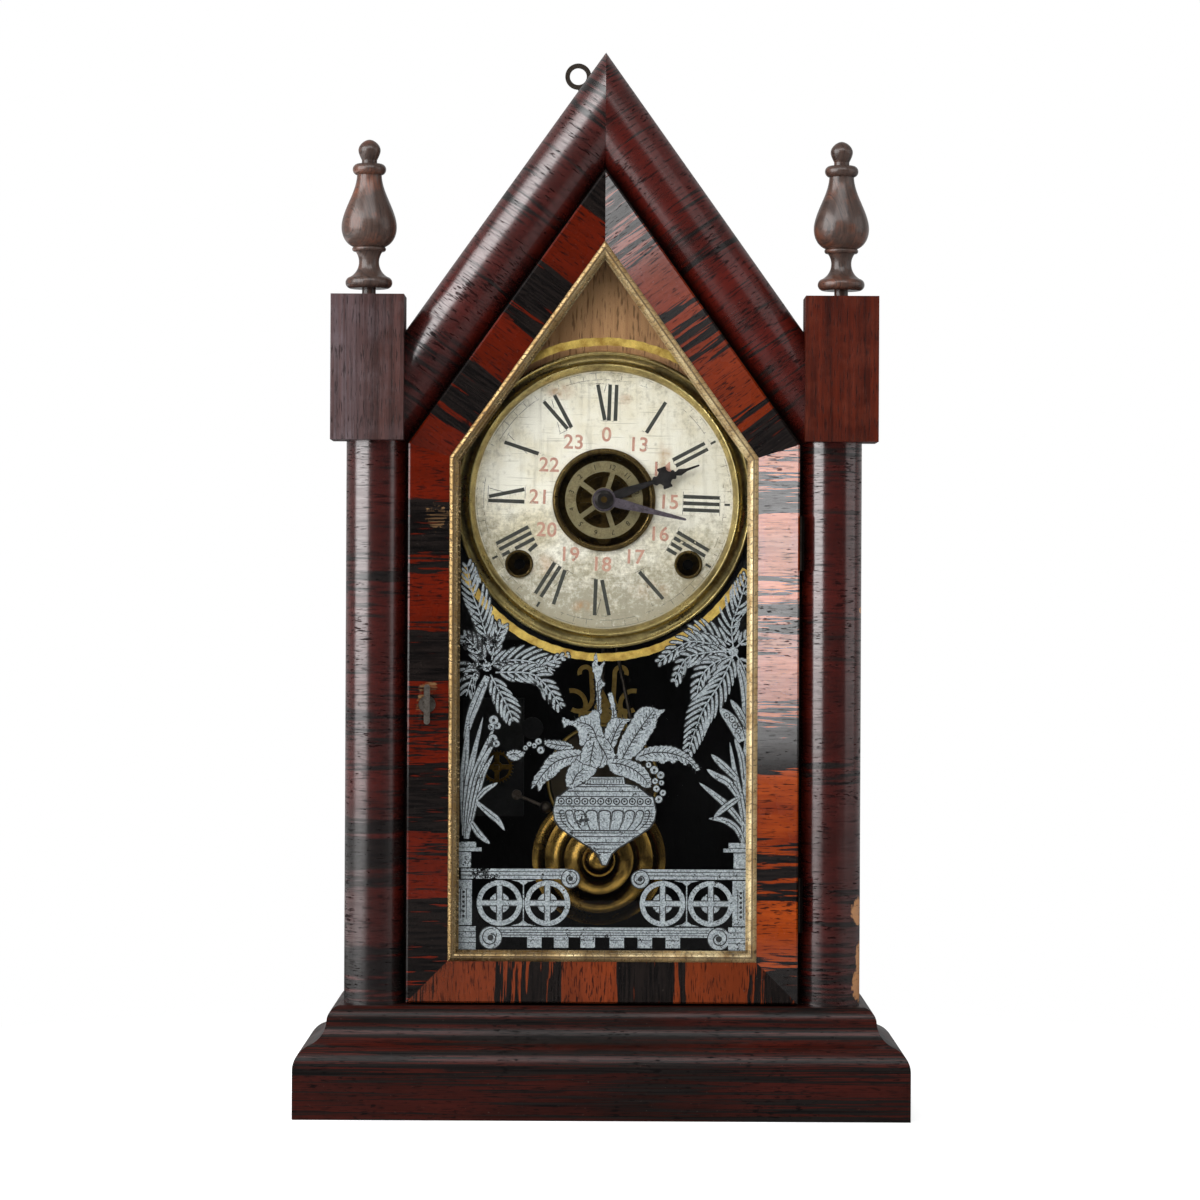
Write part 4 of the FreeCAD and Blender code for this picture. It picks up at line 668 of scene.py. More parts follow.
@dataclass(frozen=True)
class GiltBead:
    """Gold leaf over a wooden bead, cracked across its length and rubbed, with painted shade over its left half."""

    name: str = "gilt_bead"
    gold: Colour = tint(252, 232, 182)
    # Duller gold of rubbed places, also used for the painted shade over the left half.
    worn: Colour = tint(164, 132, 84)
    crack: Colour = tint(44, 26, 14)
    sight: Triple = (68.5, 77.9, 236.82)
    foot: float = 78.5
    slant: float = -0.32
    pitch: float = 330.0
    groove: float = 3.0

    def material(self) -> Material:
        """Builds the gold's material."""
        material, graph, surface, place = new_material(self.name)
        age = graph.group(Effect.AGE, Vector=place, Bright=self.gold, Dull=self.worn, Scale=95.0, Amount=0.52,
                          Smooth=0.18, Rough=0.42)
        x, _, z = graph.split(place)
        aside = graph.size(x)
        rise = graph.plus(z, graph.times(aside, self.slant))
        level = graph.under(z, self.foot * MM)
        run = graph.plus(graph.times(rise, graph.rest(level)), graph.times(x, level))
        drift = graph.noise(place, 260.0, 2.0, 0.5)
        comb = graph.math("FRACT", graph.plus(graph.times(run, self.pitch), graph.times(drift, 2.2)))
        cracks = graph.spread(graph.size(graph.minus(comb, 0.5)), 0.1, 0.03)
        dark = graph.times(cracks, 0.7)
        # Painted shade: the left half of the bead is mixed towards the duller gold and made more metallic, so that it
        # reads darker than the right half.
        shaded_left = graph.spread(x, -0.06, 0.06, 0.62, 0.0)
        colour = graph.mix(shaded_left, age["Color"], self.worn)
        sloped = graph.plus(graph.times(aside, math.sin(SLOPE)), graph.times(z, math.cos(SLOPE)))
        sides = graph.most(graph.minus(aside, self.sight[0] * MM), graph.minus(self.sight[1] * MM, z))
        edge = graph.most(sides, graph.minus(sloped, self.sight[2] * MM))
        groove = graph.spread(graph.size(graph.minus(edge, self.groove * MM)), 0.0005, 0.0002)
        beyond = graph.spread(edge, (self.groove - 0.1) * MM, (self.groove + 0.1) * MM, 0.0, 0.55)
        colour = graph.mix(beyond, colour, self.worn)
        dark = graph.most(dark, graph.times(groove, 0.8))
        colour = graph.mix(dark, colour, self.crack)
        # Blotchy darkening, far heavier on the bottom bead.
        grime = graph.spread(graph.noise(place, 46.0, 4.0, 0.6), 0.42, 0.7)
        grime = graph.times(grime, graph.plus(0.14, graph.times(level, 0.7)), True)
        colour = graph.mix(grime, colour, self.crack)
        shine = graph.times(graph.plus(0.45, graph.times(shaded_left, 0.8)), graph.rest(dark))
        graph.fill(surface, {"Base Color": colour, "Roughness": age["Roughness"], "Metallic": shine})
        add_bump(graph, surface, graph.minus(age["Height"], graph.most(cracks, groove)), 0.4, COARSE_RELIEF)
        return material


@dataclass(frozen=True)
class DialPaint:
    """Aged cream paint on the dial, stained and scratched, dirtier towards its rim, darker towards its foot, and with
    painted shade over its right side.
    """

    name: str = "dial_paint"
    cream: Colour = tint(248, 243, 228)
    warm: Colour = tint(228, 217, 188)
    # Darker colour of the specks, scratches and streaks, and of the painted shade over the right side.
    grime: Colour = tint(128, 119, 92)
    rust: Colour = tint(176, 128, 78)
    centre: Point = (0.0, 293.4)
    rim: Point = (43.0, 62.5)
    foot: Point = (300.0, 232.0)
    # Across the dial, where the painted shade over the right side starts and where it is full.
    shade: Point = (-20.0, 55.0)
    stains: tuple[Spot, ...] = (
        Spot((-21.2, -14.3, 345.7), (9.0, 9.0, 5.0), 0.8), Spot((29.0, -14.3, 314.0), (5.0, 9.0, 9.0), 0.75),
        Spot((-10.0, -14.3, 242.0), (6.5, 9.0, 3.6), 1.0), Spot((10.2, -14.3, 340.8), (4.5, 9.0, 4.5), 0.7),
        Spot((-30.0, -14.3, 262.0), (10.0, 9.0, 7.0), 0.5), Spot((22.0, -14.3, 250.0), (11.0, 9.0, 6.0), 0.5))

    def material(self) -> Material:
        """Builds the paint's material."""
        material, graph, surface, place = new_material(self.name)
        radius = graph.radius(place, self.centre)
        level = graph.along(place, UP)
        aside = graph.along(place, RIGHT)
        broad = graph.noise(place, 42.0, 4.0, 0.6)
        colour = graph.mix(graph.spread(broad, 0.42, 0.68), self.cream, self.warm)
        fine = graph.noise(place, 380.0, 5.0, 0.75)
        rim = graph.spread(radius, self.rim[0] * MM, self.rim[1] * MM)
        low = graph.spread(level, self.foot[0] * MM, self.foot[1] * MM)
        # Specks grow denser towards the rim, where grime gathers, and the dial is darker towards its foot.
        speck_amount = graph.plus(graph.times(rim, 0.08), graph.times(low, 0.44))
        speck_amount = graph.plus(speck_amount, graph.times(graph.minus(broad, 0.5), 0.36))
        specks = graph.spread(graph.plus(fine, speck_amount), 0.56, 0.88)
        colour = graph.mix(graph.times(specks, 0.78), colour, self.grime)
        wear = graph.noise(graph.stretched((aside, level, level), (340.0, 0.0, 30.0)), 1.0, 3.0, 0.6)
        colour = graph.mix(graph.spread(wear, 0.52, 0.74, 0.0, 0.3), colour, self.grime)
        rust = graph.spread(graph.noise(place, 130.0, 4.0, 0.65), 0.4, 0.64)
        for stain in self.stains:
            soft = graph.group(Effect.SOFT, Vector=place, **stain.place())["Mask"]
            share = graph.times(graph.times(soft, rust), stain.ragged)
            colour = graph.mix(share, colour, self.rust)
        scratch = graph.noise(graph.stretched((aside, level, level), (60.0, 0.0, 1500.0)), 1.0, 2.0, 0.5)
        lines = graph.times(graph.spread(scratch, 0.6, 0.7), 0.4)
        colour = graph.mix(lines, colour, self.grime)
        # Painted shade: the dial's colour is darkened towards its right side, which the lamp at the left lights more.
        shade = graph.spread(aside, self.shade[0] * MM, self.shade[1] * MM, 0.0, 0.22)
        colour = graph.mix(shade, colour, self.grime)
        graph.fill(surface, {"Base Color": colour, "Roughness": graph.spread(fine, 0.2, 0.8, 0.35, 0.7)})
        add_bump(graph, surface, graph.minus(fine, lines), 0.12, FINE_RELIEF)
        return material


@dataclass(frozen=True)
class Pane:
    """Clear window glass that lets the lamps through."""

    name: str = "clear_glass"
    tone: Colour = (0.97, 0.985, 0.98)
    bend: float = 1.45
    smear: float = 0.03

    def material(self) -> Material:
        """Builds the glass."""
        material, graph, surface, place = new_material(self.name)
        smears = graph.spread(graph.noise(place, 40.0, 4.0, 0.6), 0.5, 0.8, 0.0, self.smear)
        graph.fill(surface, {"Base Color": self.tone, "Transmission Weight": 1.0, "IOR": self.bend,
                             "Roughness": smears})
        output = next(node for node in graph.tree.nodes if node.type == "OUTPUT_MATERIAL")
        glass = output.inputs["Surface"].links[0].from_socket
        path = graph.add("ShaderNodeLightPath").outputs
        clear = graph.add("ShaderNodeBsdfTransparent")
        mixed = graph.add("ShaderNodeMixShader")
        graph.feed(output.inputs["Surface"], graph.row(mixed, path["Is Shadow Ray"], glass, clear.outputs[0]))
        return material


@dataclass(frozen=True)
class Ink:
    """Printed or painted marks that are partly rubbed away."""

    name: str
    colour: Colour
    second: Colour
    scale: float = 320.0
    kept: float = 0.62
    metallic: float = 0.0
    roughness: float = 0.6
    rubbed: tuple[Spot, ...] = ()
    edge: float = 0.03

    def material(self) -> Material:
        """Builds the ink, more worn in its rubbed places."""
        material, graph, surface, place = new_material(self.name)
        fine = graph.noise(place, self.scale, 4.0, 0.65)
        broad = graph.noise(place, self.scale * 0.16, 3.0, 0.6)
        colour = graph.mix(graph.spread(fine, 0.35, 0.65), self.colour, self.second)
        both = graph.plus(graph.times(fine, 0.5), graph.times(broad, 0.5))
        for spot in self.rubbed:
            soft = graph.group(Effect.SOFT, Vector=place, **spot.place())["Mask"]
            both = graph.plus(both, graph.times(soft, spot.ragged))
        alpha = graph.spread(both, self.kept + self.edge, self.kept - self.edge)
        graph.fill(surface, {"Base Color": colour, "Alpha": alpha, "Roughness": self.roughness,
                             "Metallic": self.metallic})
        return material


Finish = StreakedVeneer | PlainWood | OldMetal | GiltBead | DialPaint | Pane | Ink


def deselect() -> None:
    """Leaves nothing selected."""
    if bpy.context.mode != "OBJECT":
        bpy.ops.object.mode_set(mode="OBJECT")
    bpy.ops.object.select_all(action="DESELECT")


def activate(piece: Piece) -> None:
    """Selects one piece and makes it active."""
    deselect()
    piece.select_set(True)
    bpy.context.view_layer.objects.active = piece


def settle(piece: Piece) -> Piece:
    """Makes a curve or text a mesh and puts its place into the mesh.

    Args:
        piece: Text, curve or mesh.

    Returns:
        The mesh, with its object at the origin.
    """
    activate(piece)
    if piece.type != "MESH":
        bpy.ops.object.convert(target="MESH")
    bpy.ops.object.transform_apply(location=True, rotation=True, scale=True)
    return bpy.context.view_layer.objects.active


def unite(name: str, pieces: list[Piece]) -> Piece:
    """Joins meshes to one piece.

    Args:
        name: Name of the piece.
        pieces: Meshes to join.

    Returns:
        The joined piece.
    """
    activate(pieces[0])
    for piece in pieces[1:]:
        piece.select_set(True)
    if len(pieces) > 1:
        bpy.ops.object.join()
    whole = bpy.context.view_layer.objects.active
    whole.name = name
    whole.data.name = name
    return whole


def flat_shape(outlines: Outlines, plane: float, thickness: float = 0.03) -> Piece:
    """Thin flat sheet cut to outlines, upright and facing the front, in millimetres.

    Args:
        outlines: Closed outlines of (x, z) points. One inside another is a hole.
        plane: Where its front is, along Y.
        thickness: Its thickness.

    Returns:
        The sheet.
    """
    deselect()
    bpy.ops.curve.primitive_bezier_circle_add(location=(0, (plane + thickness / 2) * MM, 0),
                                              rotation=(math.pi / 2, 0, 0))
    sheet = bpy.context.view_layer.objects.active
    curve = sheet.data
    curve.splines.clear()
    curve.dimensions = "2D"
    curve.fill_mode = "BOTH"
    curve.extrude = thickness / 2 * MM
    for outline in outlines:
        spline = curve.splines.new("POLY")
        spline.points.add(len(outline) - 1)
        for point, (x, z) in zip(spline.points, outline):
            point.co = (x * MM, z * MM, 0.0, 1.0)
        spline.use_cyclic_u = True
    return settle(sheet)


def circle(centre: Point, radius: float, steps: int = 40) -> Outline:
    """Points of a circle."""
    turns = [2 * math.pi * step / steps for step in range(steps)]
    return [(centre[0] + radius * math.sin(turn), centre[1] + radius * math.cos(turn)) for turn in turns]


def arc_band(centre: Point, inner: float, outer: float, start: float, end: float, steps: int = 60,
             ripple: float = 0.0) -> Outline:
    """Band between two radii, from one clock angle in degrees to another.

    Args:
        centre: Centre of the band.
        inner: Inner radius.
        outer: Outer radius.
        start: First angle, clockwise from the top.
        end: Last angle.
        steps: Steps along the band.
        ripple: How uneven its edges are.

    Returns:
        The closed outline.
    """
    turns = [math.radians(start + (end - start) * step / steps) for step in range(steps + 1)]
    out = [outer + ripple * math.sin(turn * 61) * math.cos(turn * 23) for turn in turns]
    far = [(centre[0] + r * math.sin(t), centre[1] + r * math.cos(t)) for r, t in zip(out, turns)]
    within = [inner + ripple * math.sin(turn * 47) * math.cos(turn * 31) for turn in turns]
    near = [(centre[0] + r * math.sin(t), centre[1] + r * math.cos(t)) for r, t in zip(within, turns)]
    return far + near[::-1]


def stroke(centre: Point, length: float, width: float, angle: float, taper: float = 1.0) -> Outline:
    """Straight stroke.

    Args:
        centre: Its middle.
        length: Its length.
        width: Its width.
        angle: Clock angle of its length, in degrees.
        taper: Width at its far end as a share of the near one.

    Returns:
        The closed outline.
    """
    turn = math.radians(angle)
    ahead = (math.sin(turn) * length / 2, math.cos(turn) * length / 2)
    side = (math.cos(turn) * width / 2, -math.sin(turn) * width / 2)
    corners = ((-1, -1, 1.0), (-1, 1, 1.0), (1, 1, taper), (1, -1, taper))
    return [(centre[0] + f * ahead[0] + s * side[0] * k, centre[1] + f * ahead[1] + s * side[1] * k)
            for f, s, k in corners]


def oblong(left: float, right: float, top: float, bottom: float) -> Outline:
    """Upright rectangle."""
    return [(left, top), (right, top), (right, bottom), (left, bottom)]


def cross(centre: Point, arm: float, half: float) -> Outline:
    """Cross with four equal arms.

    Args:
        centre: Its middle.
        arm: Length of an arm from the middle.
        half: Half the width of an arm.

    Returns:
        The closed outline.
    """
    corner = ((-half, arm), (half, arm), (half, half))
    turned = list(corner)
    outline: Outline = []
    for _ in range(4):
        outline += turned
        turned = [(z, -x) for x, z in turned]
    return [(centre[0] + x, centre[1] + z) for x, z in outline]


def inset(outline: Outline, depth: float) -> Outline:
    """Outline drawn in towards its middle."""
    middle = (sum(x for x, z in outline) / len(outline), sum(z for x, z in outline) / len(outline))
    drawn = []
    for x, z in outline:
        gap = max(math.hypot(x - middle[0], z - middle[1]), 1e-6)
        drawn.append((x - (x - middle[0]) / gap * depth, z - (z - middle[1]) / gap * depth))
    return drawn


def shifted(spot: Point, angle: float, length: float) -> Point:
    """Point moved along a clock angle in degrees."""
    turn = math.radians(angle)
    return (spot[0] + math.sin(turn) * length, spot[1] + math.cos(turn) * length)


def smooth(points: Outline, closed: bool = False, steps: int = 6) -> Outline:
    """Smooth line through points.

    Args:
        points: Points to pass.
        closed: Joins the last point to the first.
        steps: Steps between two points.

    Returns:
        The points of the line.
    """
    count = len(points)
    last = count if closed else count - 1
    line: Outline = []
    for index in range(last):
        if closed:
            near = [points[(index + shift) % count] for shift in (-1, 0, 1, 2)]
        else:
            near = [points[max(0, min(count - 1, index + shift))] for shift in (-1, 0, 1, 2)]
        for step in range(steps):
            t = step / steps
            line.append(tuple(0.5 * (2 * near[1][i] + (near[2][i] - near[0][i]) * t
                                     + (2 * near[0][i] - 5 * near[1][i] + 4 * near[2][i] - near[3][i]) * t * t
                                     + (3 * near[1][i] - near[0][i] - 3 * near[2][i] + near[3][i]) * t ** 3)
                              for i in (0, 1)))
    return line if closed else line + [points[-1]]


def walk(line: Outline, pitch: float) -> list[tuple[Point, float, float]]:
    """Places at equal steps along a line.

    Args:
        line: Points of the line.
        pitch: Length of a step.

    Returns:
        Each place, the clock angle of the line there in degrees, and its share of the length.
    """
    runs = [math.hypot(b[0] - a[0], b[1] - a[1]) for a, b in zip(line, line[1:])]
    total = sum(runs)
    places = []
    done, goal = 0.0, pitch * 0.7
    for (start, end), run in zip(zip(line, line[1:]), runs):
        while goal <= done + run and goal < total:
            share = (goal - done) / run
            spot = (start[0] + (end[0] - start[0]) * share, start[1] + (end[1] - start[1]) * share)
            places.append((spot, math.degrees(math.atan2(end[0] - start[0], end[1] - start[1])), goal / total))
            goal += pitch
        done += run
    return places


def ribbon(line: Outline, width: float, profile: Stops) -> Outline:
    """Band along a line.

    Args:
        line: Points of its middle.
        width: Its greatest width.
        profile: Half widths along it, as shares.

    Returns:
        The closed outline.
    """
    left, right = [], []
    last = len(line) - 1
    for index, (x, z) in enumerate(line):
        before, after = line[max(0, index - 1)], line[min(last, index + 1)]
        gap = max(math.hypot(after[0] - before[0], after[1] - before[1]), 1e-9)
        side = ((after[1] - before[1]) / gap, (before[0] - after[0]) / gap)
        share = index / last
        half = next(a[1] + (b[1] - a[1]) * (share - a[0]) / (b[0] - a[0])
                    for a, b in zip(profile, profile[1:]) if share <= b[0] + 1e-9) * width
        right.append((x + side[0] * half, z + side[1] * half))
        left.append((x - side[0] * half, z - side[1] * half))
    return right + left[::-1]


def leaf(root: Point, angle: float, length: float, width: float, bend: float, shape: Stops) -> Outline:
    """Small leaf.

    Args:
        root: Where it starts.
        angle: Clock angle of its tip, in degrees.
        length: Its length.
        width: Its greatest width.
        bend: How far its tip turns, in degrees.
        shape: Half widths along it, as shares.

    Returns:
        The closed outline.
    """
    left, right = [], []
    for share, half in shape:
        turn = math.radians(angle + bend * share)
        spine = (root[0] + math.sin(turn) * length * share, root[1] + math.cos(turn) * length * share)
        side = (math.cos(turn) * width * half, -math.sin(turn) * width * half)
        right.append((spine[0] + side[0], spine[1] + side[1]))
        left.append((spine[0] - side[0], spine[1] - side[1]))
    return right + left[-2::-1]


def finish_piece(piece: Piece, body: str, finish: Finish) -> None:
    """Dresses a new piece and lets it ride on its body.

    Args:
        piece: The new piece.
        body: Body that carries it.
        finish: Its finish.
    """
    piece.data.materials.clear()
    piece.data.materials.append(finish.material())
    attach(piece, body)
    LOG.info("made %s on %s, %d faces", piece.name, body, len(piece.data.polygons))


def dress(finishes: dict[tuple[str, ...], Finish]) -> None:
    """Gives parts of the frame their finishes.

    Args:
        finishes: Finish of each group of parts.
    """
    for nodes, finish in finishes.items():
        material = finish.material()
        for name in nodes:
            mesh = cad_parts[name].data
            mesh.materials.clear()
            mesh.materials.append(material)
            LOG.info("dressed %s with %s", name, material.name)


@dataclass
class Case:
    """The fixed case: columns, blocks, gable, base, finials and carcass boards."""

    red: Colour = tint(76, 16, 9)
    deep: Colour = tint(50, 12, 8)
    black: Colour = tint(13, 9, 10)
    left_bands: Stops = (
        (0.0, 0.1), (0.17, 0.05), (0.19, 0.5), (0.2, 0.1), (0.217, 0.55), (0.24, 0.5), (0.26, 0.2), (0.38, 0.0),
        (0.4, 0.35), (0.42, 0.05), (0.46, 0.4), (0.485, 0.65), (0.51, 0.55), (0.53, 0.35), (0.6, 0.2), (0.66, 0.2),
        (0.675, 0.8), (0.69, 0.8), (0.7, 0.45), (0.715, 1.0), (0.75, 0.9), (0.766, 0.4), (0.79, 0.95), (0.805, 0.2),
        (0.89, 0.25), (0.92, 0.7), (0.95, 0.9), (1.0, 0.7))
    right_bands: Stops = (
        (0.0, 0.35), (0.05, 0.2), (0.18, 0.0), (0.25, 0.05), (0.29, 0.2), (0.3, 0.55), (0.32, 0.05), (0.33, 0.4),
        (0.36, 0.05), (0.4, 0.3), (0.42, 0.05), (0.55, 0.1), (0.57, 0.5), (0.6, 0.45), (0.62, 0.05), (0.75, 0.1),
        (0.8, 0.35), (0.82, 0.6), (0.83, 0.15), (0.86, 0.5), (0.88, 0.2), (0.93, 0.5), (1.0, 0.55))
    left_gable_bands: Stops = (
        (0.0, 0.4), (0.05, 0.45), (0.1, 0.08), (0.24, 0.1), (0.27, 0.35), (0.3, 0.1), (0.44, 0.12), (0.48, 0.5),
        (0.52, 0.45), (0.55, 0.12), (0.62, 0.25), (0.66, 0.08), (0.78, 0.12), (0.83, 0.45), (0.9, 0.5), (0.93, 0.2),
        (1.0, 0.35))
    right_gable_bands: Stops = (
        (0.0, 0.25), (0.08, 0.4), (0.14, 0.3), (0.18, 0.4), (0.22, 0.05), (0.47, 0.03), (0.5, 0.35), (0.53, 0.1),
        (0.56, 0.4), (0.61, 0.45), (0.64, 0.15), (0.67, 0.45), (0.7, 0.1), (0.85, 0.05), (0.9, 0.2), (0.93, 0.3),
        (1.0, 0.25))
    chips: tuple[Spot, ...] = (
        Spot((122.0, -26.0, 97.0), (5.5, 7.0, 7.0)), Spot((121.0, -25.0, 62.0), (5.0, 7.0, 9.0)),
        Spot((122.5, -24.0, 75.0), (2.5, 6.0, 9.0)), Spot((123.4, -24.0, 241.0), (1.6, 5.0, 1.6)))
    tip_chip: tuple[Spot, ...] = (Spot((0.0, -34.0, 506.0), (2.2, 8.0, 2.4)),)
    base_bands: Stops = ((0.0, 0.38), (0.12, 0.52), (0.22, 0.36), (0.3, 0.46), (0.4, 0.34), (0.48, 0.56), (0.6, 0.42),
                         (0.72, 0.5), (0.85, 0.36), (1.0, 0.46))
    base_top: float = 52.0
    column: Point = (315.7, 54.9)
    peak: float = 507.7
    gable_run: float = 164.0
    # Painted shade: near black for the inside of the case, which lies in shade behind the glass.
    inside: Colour = tint(11, 10, 12)

    def veneer(self, name: str, along: Triple, across: Triple, start: float, end: float,
               bands: Stops, spots: tuple[Spot, ...] = (), bright: float = 1.0,
               film: float = 0.2, coat: float = 0.95) -> StreakedVeneer:
        """Dark red lacquered veneer of a case piece.

        Args:
            name: Name of the finish.
            along: Direction in which the streaks follow each other.
            across: Direction in which they run.
            start: Where the bands start, along.
            end: Where they end.
            bands: Places and darkness of the streaks.
            spots: Chipped places.
            bright: How much brighter than the others its red is.
            film: How dull its lacquer is.
            coat: How strong its lacquer is.

        Returns:
            The finish.
        """
        red, deep = (tuple(value * bright for value in colour) for colour in (self.red, self.deep))
        return StreakedVeneer(name, along, across, start, end, bands, red, deep, self.black, 360.0, 0.0026, 0.3, 0.5,
                              coat, 24.0, film, 0.7, tint(176, 124, 78), spots, blur=0.12)

    def dress_veneers(self) -> None:
        """Dresses the columns and the gable."""
        high = self.peak * math.sin(SLOPE)
        low = high - self.gable_run
        dress({
            ("left_column",): self.veneer(
                "left_column_veneer", UP, RIGHT, *self.column, self.left_bands, film=0.23),
            ("right_column",): self.veneer(
                "right_column_veneer", UP, RIGHT, *self.column, self.right_bands, self.chips),
            ("left_gable_moulding",): self.veneer(
                "left_gable_veneer", RISING, FALLING, low, high, self.left_gable_bands, self.tip_chip, 1.15, 0.26),
            ("right_gable_moulding",): self.veneer(
                "right_gable_veneer", FALLING, RISING, -high, -low, self.right_gable_bands, self.tip_chip, 1.3, 0.2,
                0.6)})

    def dress_base(self) -> None:
        """Dresses the moulded base, whose streaks run along its length."""
        for node, along, across in (("base_front_moulding", (0.0, 0.25, 0.97), RIGHT),
                                    ("base_side_mouldings", (0.25, 0.0, 0.97), DEEP)):
            finish = StreakedVeneer(node + "_veneer", along, across, 0.0, self.base_top, self.base_bands,
                                    tint(64, 17, 9), tint(30, 9, 5), tint(9, 7, 7), 620.0, 0.002, 0.35, 0.55, 0.3,
                                    8.0, 0.27, 0.95, gloss=1.9)
            dress({(node,): finish})

    def dress_blocks(self) -> None:
        """Dresses the blocks, with upright grain, and the finials."""
        dress({
            # Painted sheen: the left block's left side is greyed, where its lacquer catches the light.
            ("left_capital",): PlainWood(
                "left_block_wood", SKEW, UP, tint(82, 52, 48), tint(46, 26, 24), 520.0, 0.4, 0.6, 0.15, gloss=0.2,
                worn=tint(98, 86, 90), reach=(-108.0, -122.0)),
            ("right_capital",): PlainWood(
                "right_block_wood", SKEW, UP, tint(94, 30, 10), tint(50, 13, 5), 520.0, 0.4, 0.6, 0.15, gloss=0.12,
                worn=tint(88, 36, 22)),
            ("left_finial", "right_finial"): PlainWood(
                "finial_wood", SKEW, UP, tint(90, 69, 60), tint(58, 43, 37), 900.0, 0.36, 0.55, 0.9, gloss=0.3,
                worn=tint(122, 70, 48), film=0.21)})

    def dress_carcass(self) -> None:
        """Dresses the boards, with painted shade that turns their insides near black, and with the dial board's wood
        painted paler as light.
        """
        oiled = (tint(84, 42, 26), tint(54, 26, 18), 380.0, 0.4, 0.6, 0.2)
        dress({
            ("left_side_board", "right_side_board"): PlainWood(
                "side_wood", DEEP, UP, *oiled, self.inside, gloss=0.3),
            ("left_roof_board",): PlainWood("left_roof_wood", DEEP, RISING, *oiled),
            ("right_roof_board",): PlainWood("right_roof_wood", DEEP, FALLING, *oiled),
            ("backboard",): PlainWood(
                "back_wood", SKEW, UP, tint(150, 108, 70), tint(112, 76, 46), 300.0, 0.55, 0.8, 0.0, self.inside,
                53.0, 600.0, 0.12),
            # Painted shade: the case's floor board is near black, like the rest of the inside.
            ("bottom_board",): PlainWood("floor_wood", DEEP, RIGHT, tint(13, 11, 10), tint(8, 7, 7), gloss=0.03),
            ("front_frame",): PlainWood("frame_wood", RIGHT, UP, tint(40, 26, 20), tint(24, 17, 14), gloss=0.2),
            # Painted light and shade: the dial board's wood is made paler than it is above the dial, and turned near
            # black below it, where it lies in shade.
            ("dial_board",): PlainWood(
                "dial_board_wood", RIGHT, UP, tint(204, 158, 112), tint(166, 123, 84), 300.0, 0.5, 0.75, 0.0,
                self.inside, 60.0, 330.0, 0.2)})

    def build(self) -> None:
        """Dresses every piece of the case."""
        self.dress_veneers()
        self.dress_base()
        self.dress_blocks()
        self.dress_carcass()


